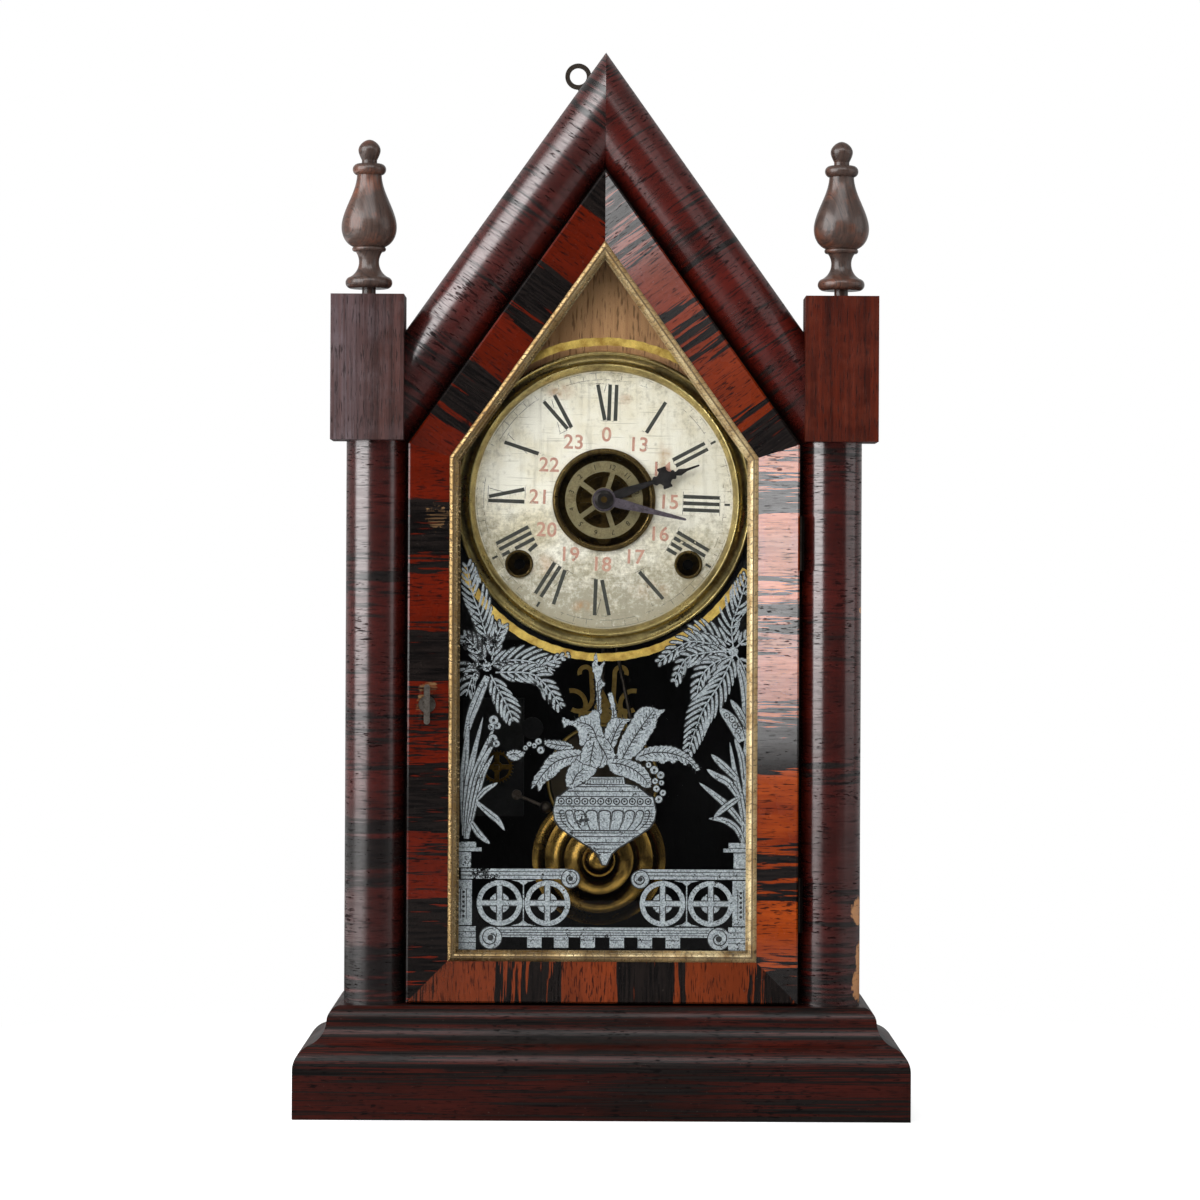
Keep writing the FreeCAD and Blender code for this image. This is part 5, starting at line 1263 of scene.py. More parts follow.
@dataclass
class Door:
    """The glazed door: streaked frame, gilt bead, glass, hinges and latch."""

    left_stile: Stops = (
        (0.0, 0.0), (0.055, 0.05), (0.068, 0.85), (0.09, 0.9), (0.1, 0.65), (0.11, 0.9), (0.155, 0.95), (0.165, 0.5),
        (0.177, 0.45), (0.188, 0.95), (0.2, 0.1), (0.27, 0.0), (0.29, 0.2), (0.305, 0.35), (0.315, 0.8), (0.33, 0.95),
        (0.4, 0.9), (0.42, 0.45), (0.46, 0.4), (0.5, 0.4), (0.56, 0.35), (0.585, 0.7), (0.62, 0.95), (0.665, 0.9),
        (0.68, 0.4), (0.693, 0.95), (0.706, 0.35), (0.83, 0.3), (0.843, 0.9), (0.87, 0.7), (0.885, 0.95), (1.0, 0.7))
    right_stile: Stops = (
        (0.0, 0.45), (0.07, 0.75), (0.09, 0.7), (0.1, 0.1), (0.2, 0.05), (0.217, 0.65), (0.231, 0.1), (0.245, 0.55),
        (0.258, 0.2), (0.272, 0.65), (0.34, 0.5), (0.36, 0.1), (0.43, 0.15), (0.462, 0.7), (0.476, 0.3),
        (0.49, 0.85), (0.575, 0.9), (0.6, 0.0), (0.698, 0.0), (0.722, 0.6), (0.737, 0.15), (0.753, 0.9),
        (0.765, 0.35), (0.781, 0.9), (0.794, 0.35), (0.808, 0.85), (0.82, 0.35), (0.833, 0.9), (0.845, 0.0),
        (0.915, 0.0), (0.95, 0.6), (1.0, 0.8))
    left_rafter: Stops = (
        (0.0, 0.0), (0.05, 0.05), (0.066, 0.95), (0.088, 0.9), (0.1, 0.45), (0.11, 0.5), (0.12, 0.95), (0.22, 0.9),
        (0.235, 0.7), (0.25, 0.95), (0.29, 0.85), (0.305, 0.15), (0.33, 0.0), (0.48, 0.0), (0.497, 0.4), (0.51, 0.95),
        (0.53, 0.85), (0.55, 0.6), (0.58, 0.9), (0.735, 0.95), (0.752, 0.25), (0.77, 0.0), (0.965, 0.0), (0.98, 0.7),
        (1.0, 0.95))
    right_rafter: Stops = (
        (0.0, 0.75), (0.08, 0.6), (0.13, 0.45), (0.16, 0.6), (0.2, 0.45), (0.23, 0.25), (0.26, 0.08), (0.39, 0.0),
        (0.405, 0.6), (0.42, 0.95), (0.445, 0.15), (0.46, 0.25), (0.475, 0.95), (0.5, 0.4), (0.515, 0.95),
        (0.538, 0.45), (0.555, 0.95), (0.58, 0.15), (0.6, 0.95), (0.62, 0.2), (0.632, 0.85), (0.655, 0.05),
        (0.85, 0.0), (0.87, 0.8), (0.882, 0.8), (0.9, 0.0), (0.915, 0.1), (0.932, 0.95), (0.957, 0.5), (0.97, 0.95),
        (1.0, 0.9))
    bottom_rail: Stops = (
        (0.0, 0.4), (0.012, 0.1), (0.155, 0.05), (0.178, 0.8), (0.191, 0.25), (0.203, 0.8), (0.216, 0.25),
        (0.24, 0.9), (0.252, 0.3), (0.27, 0.85), (0.31, 0.9), (0.328, 0.35), (0.35, 0.95), (0.372, 0.2), (0.39, 0.0),
        (0.49, 0.0), (0.52, 0.35), (0.537, 0.9), (0.685, 0.95), (0.698, 0.35), (0.72, 0.95), (0.741, 0.25),
        (0.76, 0.0), (0.9, 0.05), (0.925, 0.5), (0.943, 0.35), (0.955, 0.9), (0.967, 0.4), (0.98, 0.8), (1.0, 0.8))
    lean: float = 0.17
    worn: tuple[Spot, ...] = (
        Spot((-79.5, -33.0, 284.0), (5.6, 4.0, 5.0), 3.0), Spot((-83.0, -33.0, 203.0), (4.6, 3.0, 3.2), 1.6),
        Spot((-86.4, -33.0, 196.0), (2.6, 3.0, 6.0), 1.7))

    def rail(self, node: str, along: Triple, across: Triple, start: float, end: float,
             bands: Stops, light: Colour, deep: Colour, lean: float,
             spots: tuple[Spot, ...] = (), coat: float = 0.95, kept: Stops = ()) -> None:
        """Dresses one rail of the door.

        Args:
            node: The rail.
            along: Direction of its length.
            across: Direction of the streaks.
            start: Where the bands start, along.
            end: Where they end.
            bands: Places and darkness of the streaks.
            light: Paler wood between the streaks.
            deep: Darker wood between the streaks.
            lean: How far its rounded face leans in more than flat, to the left.
            spots: Worn places.
            coat: How strong its lacquer is.
            kept: Places along it and how much of the lacquer is left there.
        """
        finish = StreakedVeneer(node + "_veneer", along, across, start, end, bands, light, deep, spots=spots,
                                coat=coat, bare=tint(122, 92, 60), lean=(lean, 0.0, 0.0) if lean else None,
                                gloss=2.35, kept=kept, scored=True)
        dress({(node,): finish})

    def build(self) -> None:
        """Dresses the door's pieces."""
        red, deep_red = tint(108, 24, 2), tint(75, 15, 1)
        amber, deep_amber = tint(174, 74, 5), tint(104, 30, 2)
        self.rail("door_left_stile", UP, RIGHT, 307.3, 61.8, self.left_stile, red, deep_red, -self.lean, self.worn,
                  0.35)
        self.rail("door_right_stile", UP, RIGHT, 307.9, 62.2, self.right_stile, amber, deep_amber, self.lean,
                  kept=((0.0, 0.85), (0.1, 0.9), (0.52, 1.0), (0.6, 0.14), (0.9, 0.14), (0.95, 0.7), (1.0, 0.8)))
        self.rail("door_left_rafter", RISING, FALLING, 216.0, 347.6, self.left_rafter, tint(98, 22, 2),
                  tint(68, 14, 1), -self.lean, (), 0.35)
        self.rail("door_right_rafter", FALLING, RISING, -347.8, -216.2, self.right_rafter, tint(122, 40, 4),
                  tint(88, 24, 2), self.lean, kept=((0.0, 0.62), (0.14, 0.5), (0.27, 0.2), (1.0, 0.13)))
        self.rail("door_bottom_rail", RIGHT, UP, -77.1, 82.6, self.bottom_rail, tint(124, 52, 22), tint(90, 36, 14),
                  0.0, kept=((0.0, 1.0), (0.3, 0.6), (0.6, 0.3), (1.0, 0.22)))
        dress({
            ("gilt_bead",): GiltBead(),
            ("door_glass",): Pane(),
            ("door_hinge_leaves", "case_hinge_leaves"): OldMetal(
                "hinge_iron", tint(36, 31, 28), tint(20, 17, 15), 120.0, 0.5, 0.35, 0.6),
            ("latch_turn",): OldMetal(
                "latch_iron", tint(128, 122, 114), tint(54, 44, 38), 240.0, 0.5, 0.25, 0.5, 0.65)})


@dataclass
class Dial:
    """Dial, bezel, hands and the marks printed on the dial, in millimetres."""

    centre: Point = (0.0, 293.4)
    face: float = -14.3
    turn: float = 2.0
    near: float = 38.2
    far: float = 55.6
    width: float = 1.85
    pitch: float = 3.15
    day_radius: float = 31.2
    day_size: float = 9.6
    holes: Stops = ((-40.6, 263.0), (40.6, 263.0))
    hole_edge: float = 7.1
    crowded: int = 4
    crowd_turn: float = -1.6
    broad_letter: float = 1.5
    letter_lean: float = -13.5
    letter_shift: float = -1.0
    thin: float = 0.28
    hairline: float = 0.24
    track: tuple[float, ...] = (57.75, 57.95, 61.1, 61.3)
    tick: Triple = (59.5, 2.9, 0.22)
    mark: Triple = (59.3, 2.7, 1.1)
    marked_hours: tuple[int, ...] = (2, 3, 4, 7, 8)
    taper: float = 0.92
    overhang: float = 1.6
    end_gap: float = 0.2
    letter_depth: float = 0.01
    letter_space: float = 1.05
    day_bold: float = 0.16
    alarm_plane: float = -15.52
    alarm_radius: float = 16.0
    alarm_size: float = 3.4
    alarm_turn: float = 14.0
    numerals: tuple[str, ...] = ("XII", "I", "II", "III", "IIII", "V", "VI", "VII", "VIII", "IX", "X", "XI")

    def spot(self, radius: float, angle: float, offset: float = 0.0) -> Point:
        """Point on the dial.

        Args:
            radius: Distance from the centre.
            angle: Clock angle in degrees.
            offset: Distance to the side, clockwise.

        Returns:
            The (x, z) point.
        """
        turn = math.radians(angle)
        return (self.centre[0] + radius * math.sin(turn) + offset * math.cos(turn),
                self.centre[1] + radius * math.cos(turn) - offset * math.sin(turn))

    def clear_runs(self, middle: Point, length: float, angle: float) -> list[tuple[Point, float]]:
        """Lengths of a stroke that miss the winding holes.

        Args:
            middle: Middle of the stroke.
            length: Its length.
            angle: Its clock angle in degrees.

        Returns:
            The middle and the length of each run.
        """
        steps, shortest = 48, 1.4
        runs: Outlines = [[]]
        for step in range(steps + 1):
            spot = shifted(middle, angle, length * (step / steps - 0.5))
            if all(math.hypot(spot[0] - x, spot[1] - z) > self.hole_edge for x, z in self.holes):
                runs[-1].append(spot)
            elif runs[-1]:
                runs.append([])
        ends = [(run[0], run[-1]) for run in runs if len(run) > 1]
        kept = [(((a[0] + b[0]) / 2, (a[1] + b[1]) / 2), math.hypot(b[0] - a[0], b[1] - a[1])) for a, b in ends]
        return [(spot, run) for spot, run in kept if run > shortest]

    def hour_strokes(self) -> tuple[Outlines, Outlines, Outlines]:
        """Strokes of the twelve hours.

        Returns:
            The outlines of the thick strokes, of the thin ones and of the fine lines across their ends.
        """
        thick: Outlines = []
        thin: Outlines = []
        ends: Outlines = []
        middle, length = (self.near + self.far) / 2, self.far - self.near
        for hour, numeral in enumerate(self.numerals):
            angle = hour * 30.0 + self.turn + (self.crowd_turn if hour == self.crowded else 0.0)
            widths = [self.pitch * (self.broad_letter if letter in "VX" else 1.0) for letter in numeral]
            place = -sum(widths) / 2
            for letter, room in zip(numeral, widths):
                offset = place + room / 2
                place += room
                lean = self.letter_lean if letter in "VX" else 0.0
                shift = self.letter_shift if letter == "V" else 0.0
                for spot, run in self.clear_runs(self.spot(middle, angle, offset + shift), length, angle + lean):
                    thick.append(stroke(spot, run, self.width, angle + lean, self.taper))
                if letter in "VX":
                    for spot, run in self.clear_runs(self.spot(middle, angle, offset - shift), length, angle - lean):
                        thin.append(stroke(spot, run, self.thin, angle - lean))
            across = sum(widths) + self.overhang
            for radius in (self.near - self.end_gap, self.far + self.end_gap):
                for spot, run in self.clear_runs(self.spot(radius, angle), across, angle + 90.0):
                    ends.append(stroke(spot, run, self.hairline, angle + 90.0))
        return thick, thin, ends

    def minute_track(self) -> tuple[Outlines, Outlines]:
        """Minute circles with their ticks, and the heavier five minute marks.

        Returns:
            The outlines of the fine lines and of the heavy marks.
        """
        fine = [circle(self.centre, radius, 120) for radius in self.track]
        fine += [self.mark_at(minute * 6.0 + self.turn, self.tick) for minute in range(60) if minute % 5]
        heavy = [self.mark_at(hour * 30.0 + self.turn, self.mark) for hour in self.marked_hours]
        return fine, heavy

    def mark_at(self, angle: float, size: Triple) -> Outline:
        """Outline of a minute mark, whose size is its radius, length and width."""
        radius, length, width = size
        return stroke(self.spot(radius, angle), length, width, angle)

    def numbers(self, name: str, words: list[str], radius: float, size: float, plane: float, upright: bool,
                start: float, bold: float = 0.0) -> Piece:
        """Ring of numbers.

        Args:
            name: Name of the piece.
            words: Numbers, clockwise from the top.
            radius: Radius of the ring.
            size: Height of the letters.
            plane: Where their front is, along Y.
            upright: Keeps them upright instead of turned to the centre.
            start: Clock angle of the first one.
            bold: How much the letters are thickened.

        Returns:
            The ring.
        """
        made = []
        for index, word in enumerate(words):
            angle = start + index * 360.0 / len(words)
            x, z = self.spot(radius, angle)
            lean = self.turn if upright else angle
            deselect()
            bpy.ops.object.text_add(location=(x * MM, plane * MM, z * MM),
                                    rotation=(math.pi / 2, math.radians(lean), 0))
            text = bpy.context.view_layer.objects.active
            text.data.body = word
            text.data.size = size * MM
            text.data.align_x = "CENTER"
            text.data.align_y = "CENTER"
            text.data.extrude = self.letter_depth * MM
            text.data.offset = bold * MM
            text.data.space_character = self.letter_space
            made.append(settle(text))
        return unite(name, made)

    def print_marks(self) -> None:
        """Makes the printed marks on the dial."""
        thick, thin, ends = self.hour_strokes()
        fine, heavy = self.minute_track()
        black = Ink("dial_black", tint(40, 42, 38), tint(58, 58, 50), 420.0, 0.63)
        faint = Ink("dial_faint_black", tint(88, 86, 76), tint(120, 114, 98), 300.0, 0.48)
        red = Ink("dial_red", tint(180, 126, 108), tint(202, 158, 138), 420.0, 0.58)
        sheets = (("hour_numerals", black, 0.04, (thick[::2], thick[1::2], heavy)),
                  ("hour_hairlines", faint, 0.035, (thin, ends)),
                  ("minute_track", faint, 0.03, (fine[:2], fine[2:4], fine[4:])))
        for name, ink, rise, marks in sheets:
            finish_piece(unite(name, [flat_shape(mark, self.face - rise) for mark in marks]), "case",
                         ink)
        words = ["0"] + [str(hour) for hour in range(13, 24)]
        ring = self.numbers("day_numbers", words, self.day_radius, self.day_size, self.face - 0.02, True, self.turn,
                            self.day_bold)
        finish_piece(ring, "case", red)
        alarm = self.numbers("alarm_numbers", [str(hour) for hour in range(12, 0, -1)], self.alarm_radius,
                             self.alarm_size, self.alarm_plane, False, self.alarm_turn)
        dark = OldMetal("alarm_mark", tint(44, 38, 28), tint(28, 24, 18), 200.0, 0.5, 0.5, 0.8, 0.4)
        finish_piece(alarm, "alarm_setting", dark)

    def build(self) -> None:
        """Dresses the dial's pieces and prints its marks."""
        dress({
            ("dial_plate",): DialPaint(),
            ("dial_bezel",): OldMetal(
                "bezel_brass", tint(202, 182, 122), tint(112, 97, 64), 52.0, 0.46, 0.26, 0.44),
            # Aged brass, also darkened so that the grommets' inner walls read dark, as painted shade.
            ("dial_grommets",): OldMetal("grommet_brass", tint(104, 86, 52), tint(54, 43, 26), 150.0),
            ("alarm_disc",): OldMetal(
                "alarm_disc_brass", tint(196, 182, 140), tint(128, 115, 84), 150.0, 0.46, 0.3, 0.5),
            ("hour_hand",): OldMetal(
                "hour_hand_steel", tint(40, 36, 36), tint(22, 20, 20), 300.0, 0.5, 0.4, 0.65, 0.6),
            ("minute_hand",): OldMetal(
                "minute_hand_steel", tint(126, 116, 126), tint(76, 68, 74), 300.0, 0.5, 0.3, 0.5, 0.9, 0.15,
                self.centre, 4.8, tint(46, 43, 42))})
        self.print_marks()


@dataclass
class GlassPicture:
    """Garden picture and gold ring printed on the back of the door's glass, in millimetres, with painted shade in the
    picture's clear gaps.
    """

    plane: float = -25.48
    depth: float = 0.36
    step: float = 0.0017
    wide: float = 69.0
    low: float = 77.6
    ring_centre: Point = (0.0, 293.4)
    ring: Point = (73.6, 77.4)
    urn_middle: float = 1.0
    wall_level: float = 100.2
    pitch: float = 3.45
    leaflet: float = 1.32
    rim: float = 0.5
    stem: float = 0.7
    stem_gap: float = 0.45
    leaflet_turn: float = 43.0
    leaflet_bend: float = -12.0
    vein: float = 0.45
    rib_width: float = 0.6
    ragged: float = 0.28
    vein_turn: float = 46.0
    vein_pitch: float = 2.3
    side_vein: Triple = (1.75, 2.5, 0.34)
    sheet: float = 0.001
    ring_arcs: Stops = ((-28.5, 28.5), (116.0, 244.0))
    ring_ripple: float = 0.2
    fronds: tuple[tuple[Stops, float, float], ...] = (
        (((-55.7, 215.2), (-61.1, 222.3), (-67.0, 228.3)), 8.0, 8.0),
        (((-53.3, 216.4), (-51.6, 225.9), (-48.0, 234.0)), 8.0, 8.0),
        (((-54.6, 222.3), (-58.8, 237.3), (-63.1, 249.2), (-65.5, 261.7)), 9.0, 13.0),
        (((-57.5, 213.9), (-62.3, 214.5), (-67.0, 210.3)), 7.0, 7.0),
        (((-55.1, 214.0), (-42.6, 216.4), (-31.2, 214.7), (-23.1, 211.4)), 12.0, 9.0),
        (((-32.4, 213.4), (-24.0, 216.2), (-16.9, 218.8)), 4.0, 4.0),
        (((-51.5, 210.4), (-36.0, 210.2), (-28.2, 205.4), (-19.6, 193.2)), 8.0, 11.0),
        (((-58.1, 212.7), (-62.3, 208.5), (-65.5, 199.0)), 8.0, 8.0),
        (((-53.9, 209.4), (-49.7, 201.4), (-46.1, 194.9), (-43.0, 187.1)), 10.0, 10.0),
        (((63.6, 222.9), (67.1, 226.5), (69.3, 228.9)), 6.0, 6.0),
        (((62.1, 222.9), (61.4, 233.6), (64.7, 243.2), (68.6, 256.2)), 13.0, 9.0),
        (((60.6, 224.1), (53.4, 228.2), (46.2, 230.0), (40.5, 228.8)), 8.0, 10.0),
        (((60.6, 221.7), (51.0, 224.6), (40.2, 225.2), (27.1, 216.1)), 9.0, 8.0),
        (((61.2, 220.8), (51.0, 220.7), (39.7, 217.4), (33.9, 206.3)), 11.0, 6.0),
        (((63.6, 219.3), (67.2, 213.3), (69.2, 204.0)), 8.0, 8.0),
        (((61.8, 218.7), (53.4, 215.7), (46.9, 208.5), (44.0, 195.0)), 11.0, 7.0),
        (((62.4, 219.7), (56.5, 206.7), (47.6, 192.3), (40.8, 172.9)), 13.0, 12.0))
    blades: tuple[tuple[Stops, float], ...] = (
        (((-55.4, 208.6), (-59.8, 198.4), (-63.4, 188.8), (-66.3, 177.4)), 4.4),
        (((-66.4, 137.0), (-66.5, 157.5), (-65.6, 171.2), (-64.3, 188.0)), 3.4),
        (((-66.1, 132.3), (-65.1, 148.7), (-63.2, 164.4), (-57.4, 189.0)), 3.2),
        (((-65.4, 130.9), (-63.8, 148.7), (-60.4, 164.4), (-51.0, 186.5)), 2.9),
        (((-64.7, 130.9), (-62.1, 150.7), (-57.7, 166.5), (-50.9, 178.5)), 2.7),
        (((-64.0, 134.3), (-60.4, 150.7), (-57.0, 162.4), (-52.4, 170.7)), 2.6),
        (((-60.0, 149.7), (-56.3, 154.0), (-50.3, 157.6)), 2.4),
        (((-60.0, 148.0), (-53.1, 142.2), (-50.1, 139.7), (-46.8, 134.9)), 2.9),
        (((-62.9, 139.0), (-58.9, 133.0), (-53.8, 128.5)), 2.8),
        (((64.8, 214.5), (67.9, 200.2), (68.6, 170.3)), 3.6), (((69.0, 184.6), (64.9, 192.4), (61.0, 197.8)), 3.0),
        (((66.6, 178.0), (61.6, 187.6), (55.9, 193.6)), 5.4), (((68.5, 144.5), (68.7, 161.6), (68.3, 180.0)), 3.6),
        (((67.7, 158.2), (66.3, 170.5), (63.0, 179.3)), 2.8),
        (((67.2, 129.5), (67.5, 140.4), (65.7, 151.3), (63.3, 162.2), (60.7, 177.6)), 3.0),
        (((64.6, 159.5), (59.5, 164.6), (55.4, 168.4), (52.0, 171.6)), 3.2),
        (((65.2, 151.0), (60.2, 158.1), (54.7, 161.2), (49.8, 164.6)), 3.4),
        (((67.5, 137.7), (60.3, 146.5), (54.8, 151.3), (46.2, 158.1)), 3.0),
        (((65.2, 151.0), (58.9, 146.6), (53.3, 141.6)), 2.8),
        (((67.3, 129.8), (64.1, 136.3), (58.2, 140.2), (50.9, 141.0)), 2.8))
    leaves: tuple[tuple[Stops, Stops], ...] = (
        (((-2.6, 186.0), (-3.0, 198.0), (-3.8, 208.0), (-5.2, 213.0), (-3.4, 220.0), (-2.2, 213.5), (0.6, 216.0),
          (-1.2, 208.0), (0.8, 205.0), (-1.2, 202.0), (-0.8, 192.0)),
         ((-2.4, 188.0), (-2.3, 198.0), (-2.8, 206.0))),
        (((4.6, 187.0), (4.0, 194.0), (2.4, 200.0), (4.4, 200.5), (5.6, 195.0), (6.6, 188.0)),
         ((5.4, 188.0), (4.8, 194.0))),
        (((0.8, 181.4), (2.5, 186.4), (5.4, 189.0), (8.8, 188.4), (13.1, 188.3), (11.0, 186.3), (8.3, 181.8),
          (5.5, 175.0), (3.0, 174.3), (1.5, 178.0)),
         ((3.7, 176.0), (6.8, 183.8), (9.6, 187.6))),
        (((-19.2, 188.8), (-18.4, 184.3), (-16.6, 185.6), (-13.7, 184.9), (-11.8, 182.4), (-10.6, 175.6),
          (-5.5, 178.3), (0.1, 179.5), (-1.3, 185.5), (-2.1, 191.3), (-4.5, 192.7), (-6.9, 190.5), (-11.0, 189.2),
          (-14.4, 187.2)),
         ((-3.0, 179.5), (-6.0, 185.0), (-12.5, 187.2))),
        (((-27.5, 177.9), (-21.9, 177.9), (-16.8, 176.9), (-14.3, 174.5), (-20.5, 173.6), (-26.7, 175.3)),
         ((-15.5, 175.2), (-21.0, 175.8), (-26.8, 176.8))),
        (((17.0, 171.6), (21.2, 174.7), (28.0, 175.6), (33.5, 175.2), (39.0, 172.6), (43.1, 169.2), (46.2, 164.9),
          (44.4, 164.1), (41.4, 167.5), (39.3, 166.5), (36.2, 168.8), (33.6, 167.4), (31.5, 168.6), (28.5, 167.2),
          (26.0, 168.4), (22.6, 168.4), (16.0, 168.9)),
         ((17.5, 170.6), (24.0, 172.4), (31.4, 172.3), (39.7, 169.6), (45.1, 164.8))),
        (((-9.6, 172.3), (-12.3, 173.6), (-17.1, 173.4), (-22.5, 172.5), (-26.6, 169.2), (-29.9, 163.9),
          (-32.7, 160.4), (-33.9, 155.1), (-31.5, 157.0), (-30.4, 153.7), (-27.9, 157.6), (-23.0, 161.0),
          (-19.6, 164.7), (-14.2, 166.9), (-9.1, 169.6)),
         ((-10.2, 171.3), (-21.8, 168.2), (-28.6, 161.8), (-32.7, 155.4))),
        (((6.9, 169.2), (7.4, 175.0), (9.5, 180.4), (13.3, 186.9), (16.3, 192.1), (19.7, 194.2), (24.2, 193.8),
          (26.6, 192.8), (29.6, 192.9), (26.2, 189.1), (24.9, 184.5), (21.8, 179.5), (19.1, 174.7), (14.4, 170.2),
          (10.0, 167.8)),
         ((9.4, 169.6), (12.0, 174.4), (15.7, 180.5), (20.0, 187.0), (24.5, 192.8))),
        (((-3.3, 179.2), (0.1, 179.6), (3.5, 176.2), (6.1, 170.0), (2.8, 167.6), (-1.5, 165.0), (-3.7, 170.2)),
         ((-2.4, 177.5), (0.8, 172.5), (2.4, 168.6))),
        (((2.4, 168.8), (8.9, 169.2), (15.7, 167.8), (20.5, 164.3), (22.8, 160.0), (22.9, 156.2), (19.9, 155.9),
          (16.5, 158.0), (11.0, 160.6), (4.5, 163.0)),
         ((4.2, 167.4), (9.5, 166.6), (14.7, 164.4), (19.4, 160.6), (21.9, 157.0))),
        (((-4.0, 179.4), (-8.4, 176.5), (-10.3, 171.5), (-10.3, 166.3), (-6.4, 162.6), (-1.6, 166.3), (-0.6, 172.4)),
         ((-4.2, 177.6), (-5.4, 171.5), (-6.4, 165.0))),
        (((-12.8, 168.4), (-16.6, 163.9), (-17.6, 159.1), (-16.2, 155.3), (-11.9, 156.7), (-7.3, 159.3),
          (-3.0, 164.2), (-9.6, 166.7)),
         ((-14.6, 157.0), (-12.6, 161.4), (-9.0, 164.8))),
        (((-45.9, 171.3), (-43.7, 173.2), (-39.6, 172.9), (-37.4, 171.9), (-40.3, 168.8), (-43.7, 168.7)),
         ((-44.6, 171.0), (-42.6, 171.6), (-40.4, 171.2))))
    dots: tuple[Triple, ...] = (
        (-30.8, 177.5, 1.5), (-29.7, 173.4, 1.7), (-32.8, 175.5, 1.2), (-35.2, 176.3, 1.1), (-37.0, 174.4, 1.1),
        (21.9, 166.5, 1.3), (24.6, 164.1, 1.9), (27.7, 161.7, 1.7), (25.0, 158.8, 1.4), (28.1, 158.0, 1.2),
        (25.7, 155.2, 1.5), (28.8, 153.2, 1.4), (26.8, 150.1, 1.7), (-52.3, 187.6, 2.2), (-50.6, 185.0, 1.7),
        (-53.4, 184.4, 1.5), (-52.6, 178.6, 2.1), (-51.0, 176.4, 1.6), (-53.8, 176.6, 1.4), (59.2, 190.4, 1.2),
        (61.8, 188.5, 1.3), (63.2, 185.6, 1.3), (64.8, 183.0, 1.2))
    urn: Stops = (
        (160.5, 9.0), (157.2, 9.5), (156.3, 15.2), (151.7, 20.9), (150.9, 22.9), (147.6, 23.7), (144.2, 24.4),
        (140.4, 23.7), (136.7, 21.4), (133.6, 17.0), (131.2, 13.2), (129.2, 10.3), (126.8, 6.2), (124.0, 3.2),
        (118.8, 0.8))
    urn_lines: Stops = (
        (159.7, 8.8), (157.1, 9.4), (156.0, 14.9), (153.8, 18.0), (151.3, 22.2), (146.7, 23.6), (133.9, 16.8),
        (132.2, 14.2), (129.3, 9.8), (128.2, 8.2), (126.2, 5.2), (124.6, 3.2))
    rubbed: tuple[tuple[float, ...], ...] = (
        (-60.0, 222.0, 22.0, 20.0, 0.1), (-58.0, 114.0, 9.0, 6.0, 0.13), (-9.0, 138.0, 9.0, 6.0, 0.09),
        (13.0, 153.0, 8.0, 4.0, 0.08), (-2.0, 122.0, 5.0, 5.0, 0.12))
    wheels: tuple[float, ...] = (-49.1, -26.2, 28.9, 51.9)
    pale: list[tuple[Outlines, float]] = field(default_factory=list)
    dark: list[tuple[Outlines, float]] = field(default_factory=list)

    def hold(self, outline: Outline) -> Outline:
        """Keeps an outline on the pane."""
        return [(max(-self.wide, min(self.wide, x)), max(self.low, z)) for x, z in outline]

    def lay(self, outlines: Outlines, shade: bool = False) -> None:
        """Adds a sheet of outlines in front of those before it.

        Args:
            outlines: Closed outlines.
            shade: Puts it with the dark lines, painted shade in the picture's clear gaps, instead of the pale
                picture.
        """
        level = self.plane + self.depth - self.step * (len(self.pale) + len(self.dark))
        kept = [self.hold(outline) for outline in outlines]
        (self.dark if shade else self.pale).append((kept, level))

    def lines(self, ends: list[tuple[Point, Point]], width: float = 0.5) -> None:
        """Adds a sheet of thin dark lines that don't cross."""
        self.lay([ribbon(list(pair), width, LINE) for pair in ends], True)

    def frond(self, points: Stops, left: float, right: float) -> None:
        """Adds a fern frond whose leaflets have dark rims.

        Args:
            points: Points along its stem, from the root.
            left: Length of the longest leaflet on its left.
            right: Length of the longest leaflet on its right.
        """
        spine = smooth(list(points))
        rims, leaflets = [], []
        for spot, turn, share in walk(spine, self.pitch):
            swell = 0.66 + 0.9 * share if share < 0.38 else 1.0 - 0.74 * ((share - 0.38) / 0.62) ** 1.4
            for side, reach in ((-1, left), (1, right)):
                root = shifted(spot, turn + side * 90.0, self.stem_gap)
                angle, long, bend = turn + side * self.leaflet_turn, reach * swell, side * self.leaflet_bend
                rims.append(leaf(root, angle, long + self.rim, self.leaflet + 2 * self.rim, bend, LEAFLET))
                leaflets.append(leaf(root, angle, long, self.leaflet, bend, LEAFLET))
        self.lay(rims, True)
        self.lay(leaflets)
        self.lay([ribbon(spine, self.stem, LINE)])

    def blade(self, points: Stops, width: float) -> None:
        """Adds a long blade with a dark rim and vein.

        Args:
            points: Points along its middle, from the root.
            width: Its greatest width.
        """
        spine = smooth(list(points))
        self.lay([ribbon(spine, width + 2 * self.rim, BLADE)], True)
        self.lay([ribbon(spine, width, BLADE)])
        self.lay([ribbon(spine[len(spine) // 8:-len(spine) // 4], self.vein, LINE)], True)

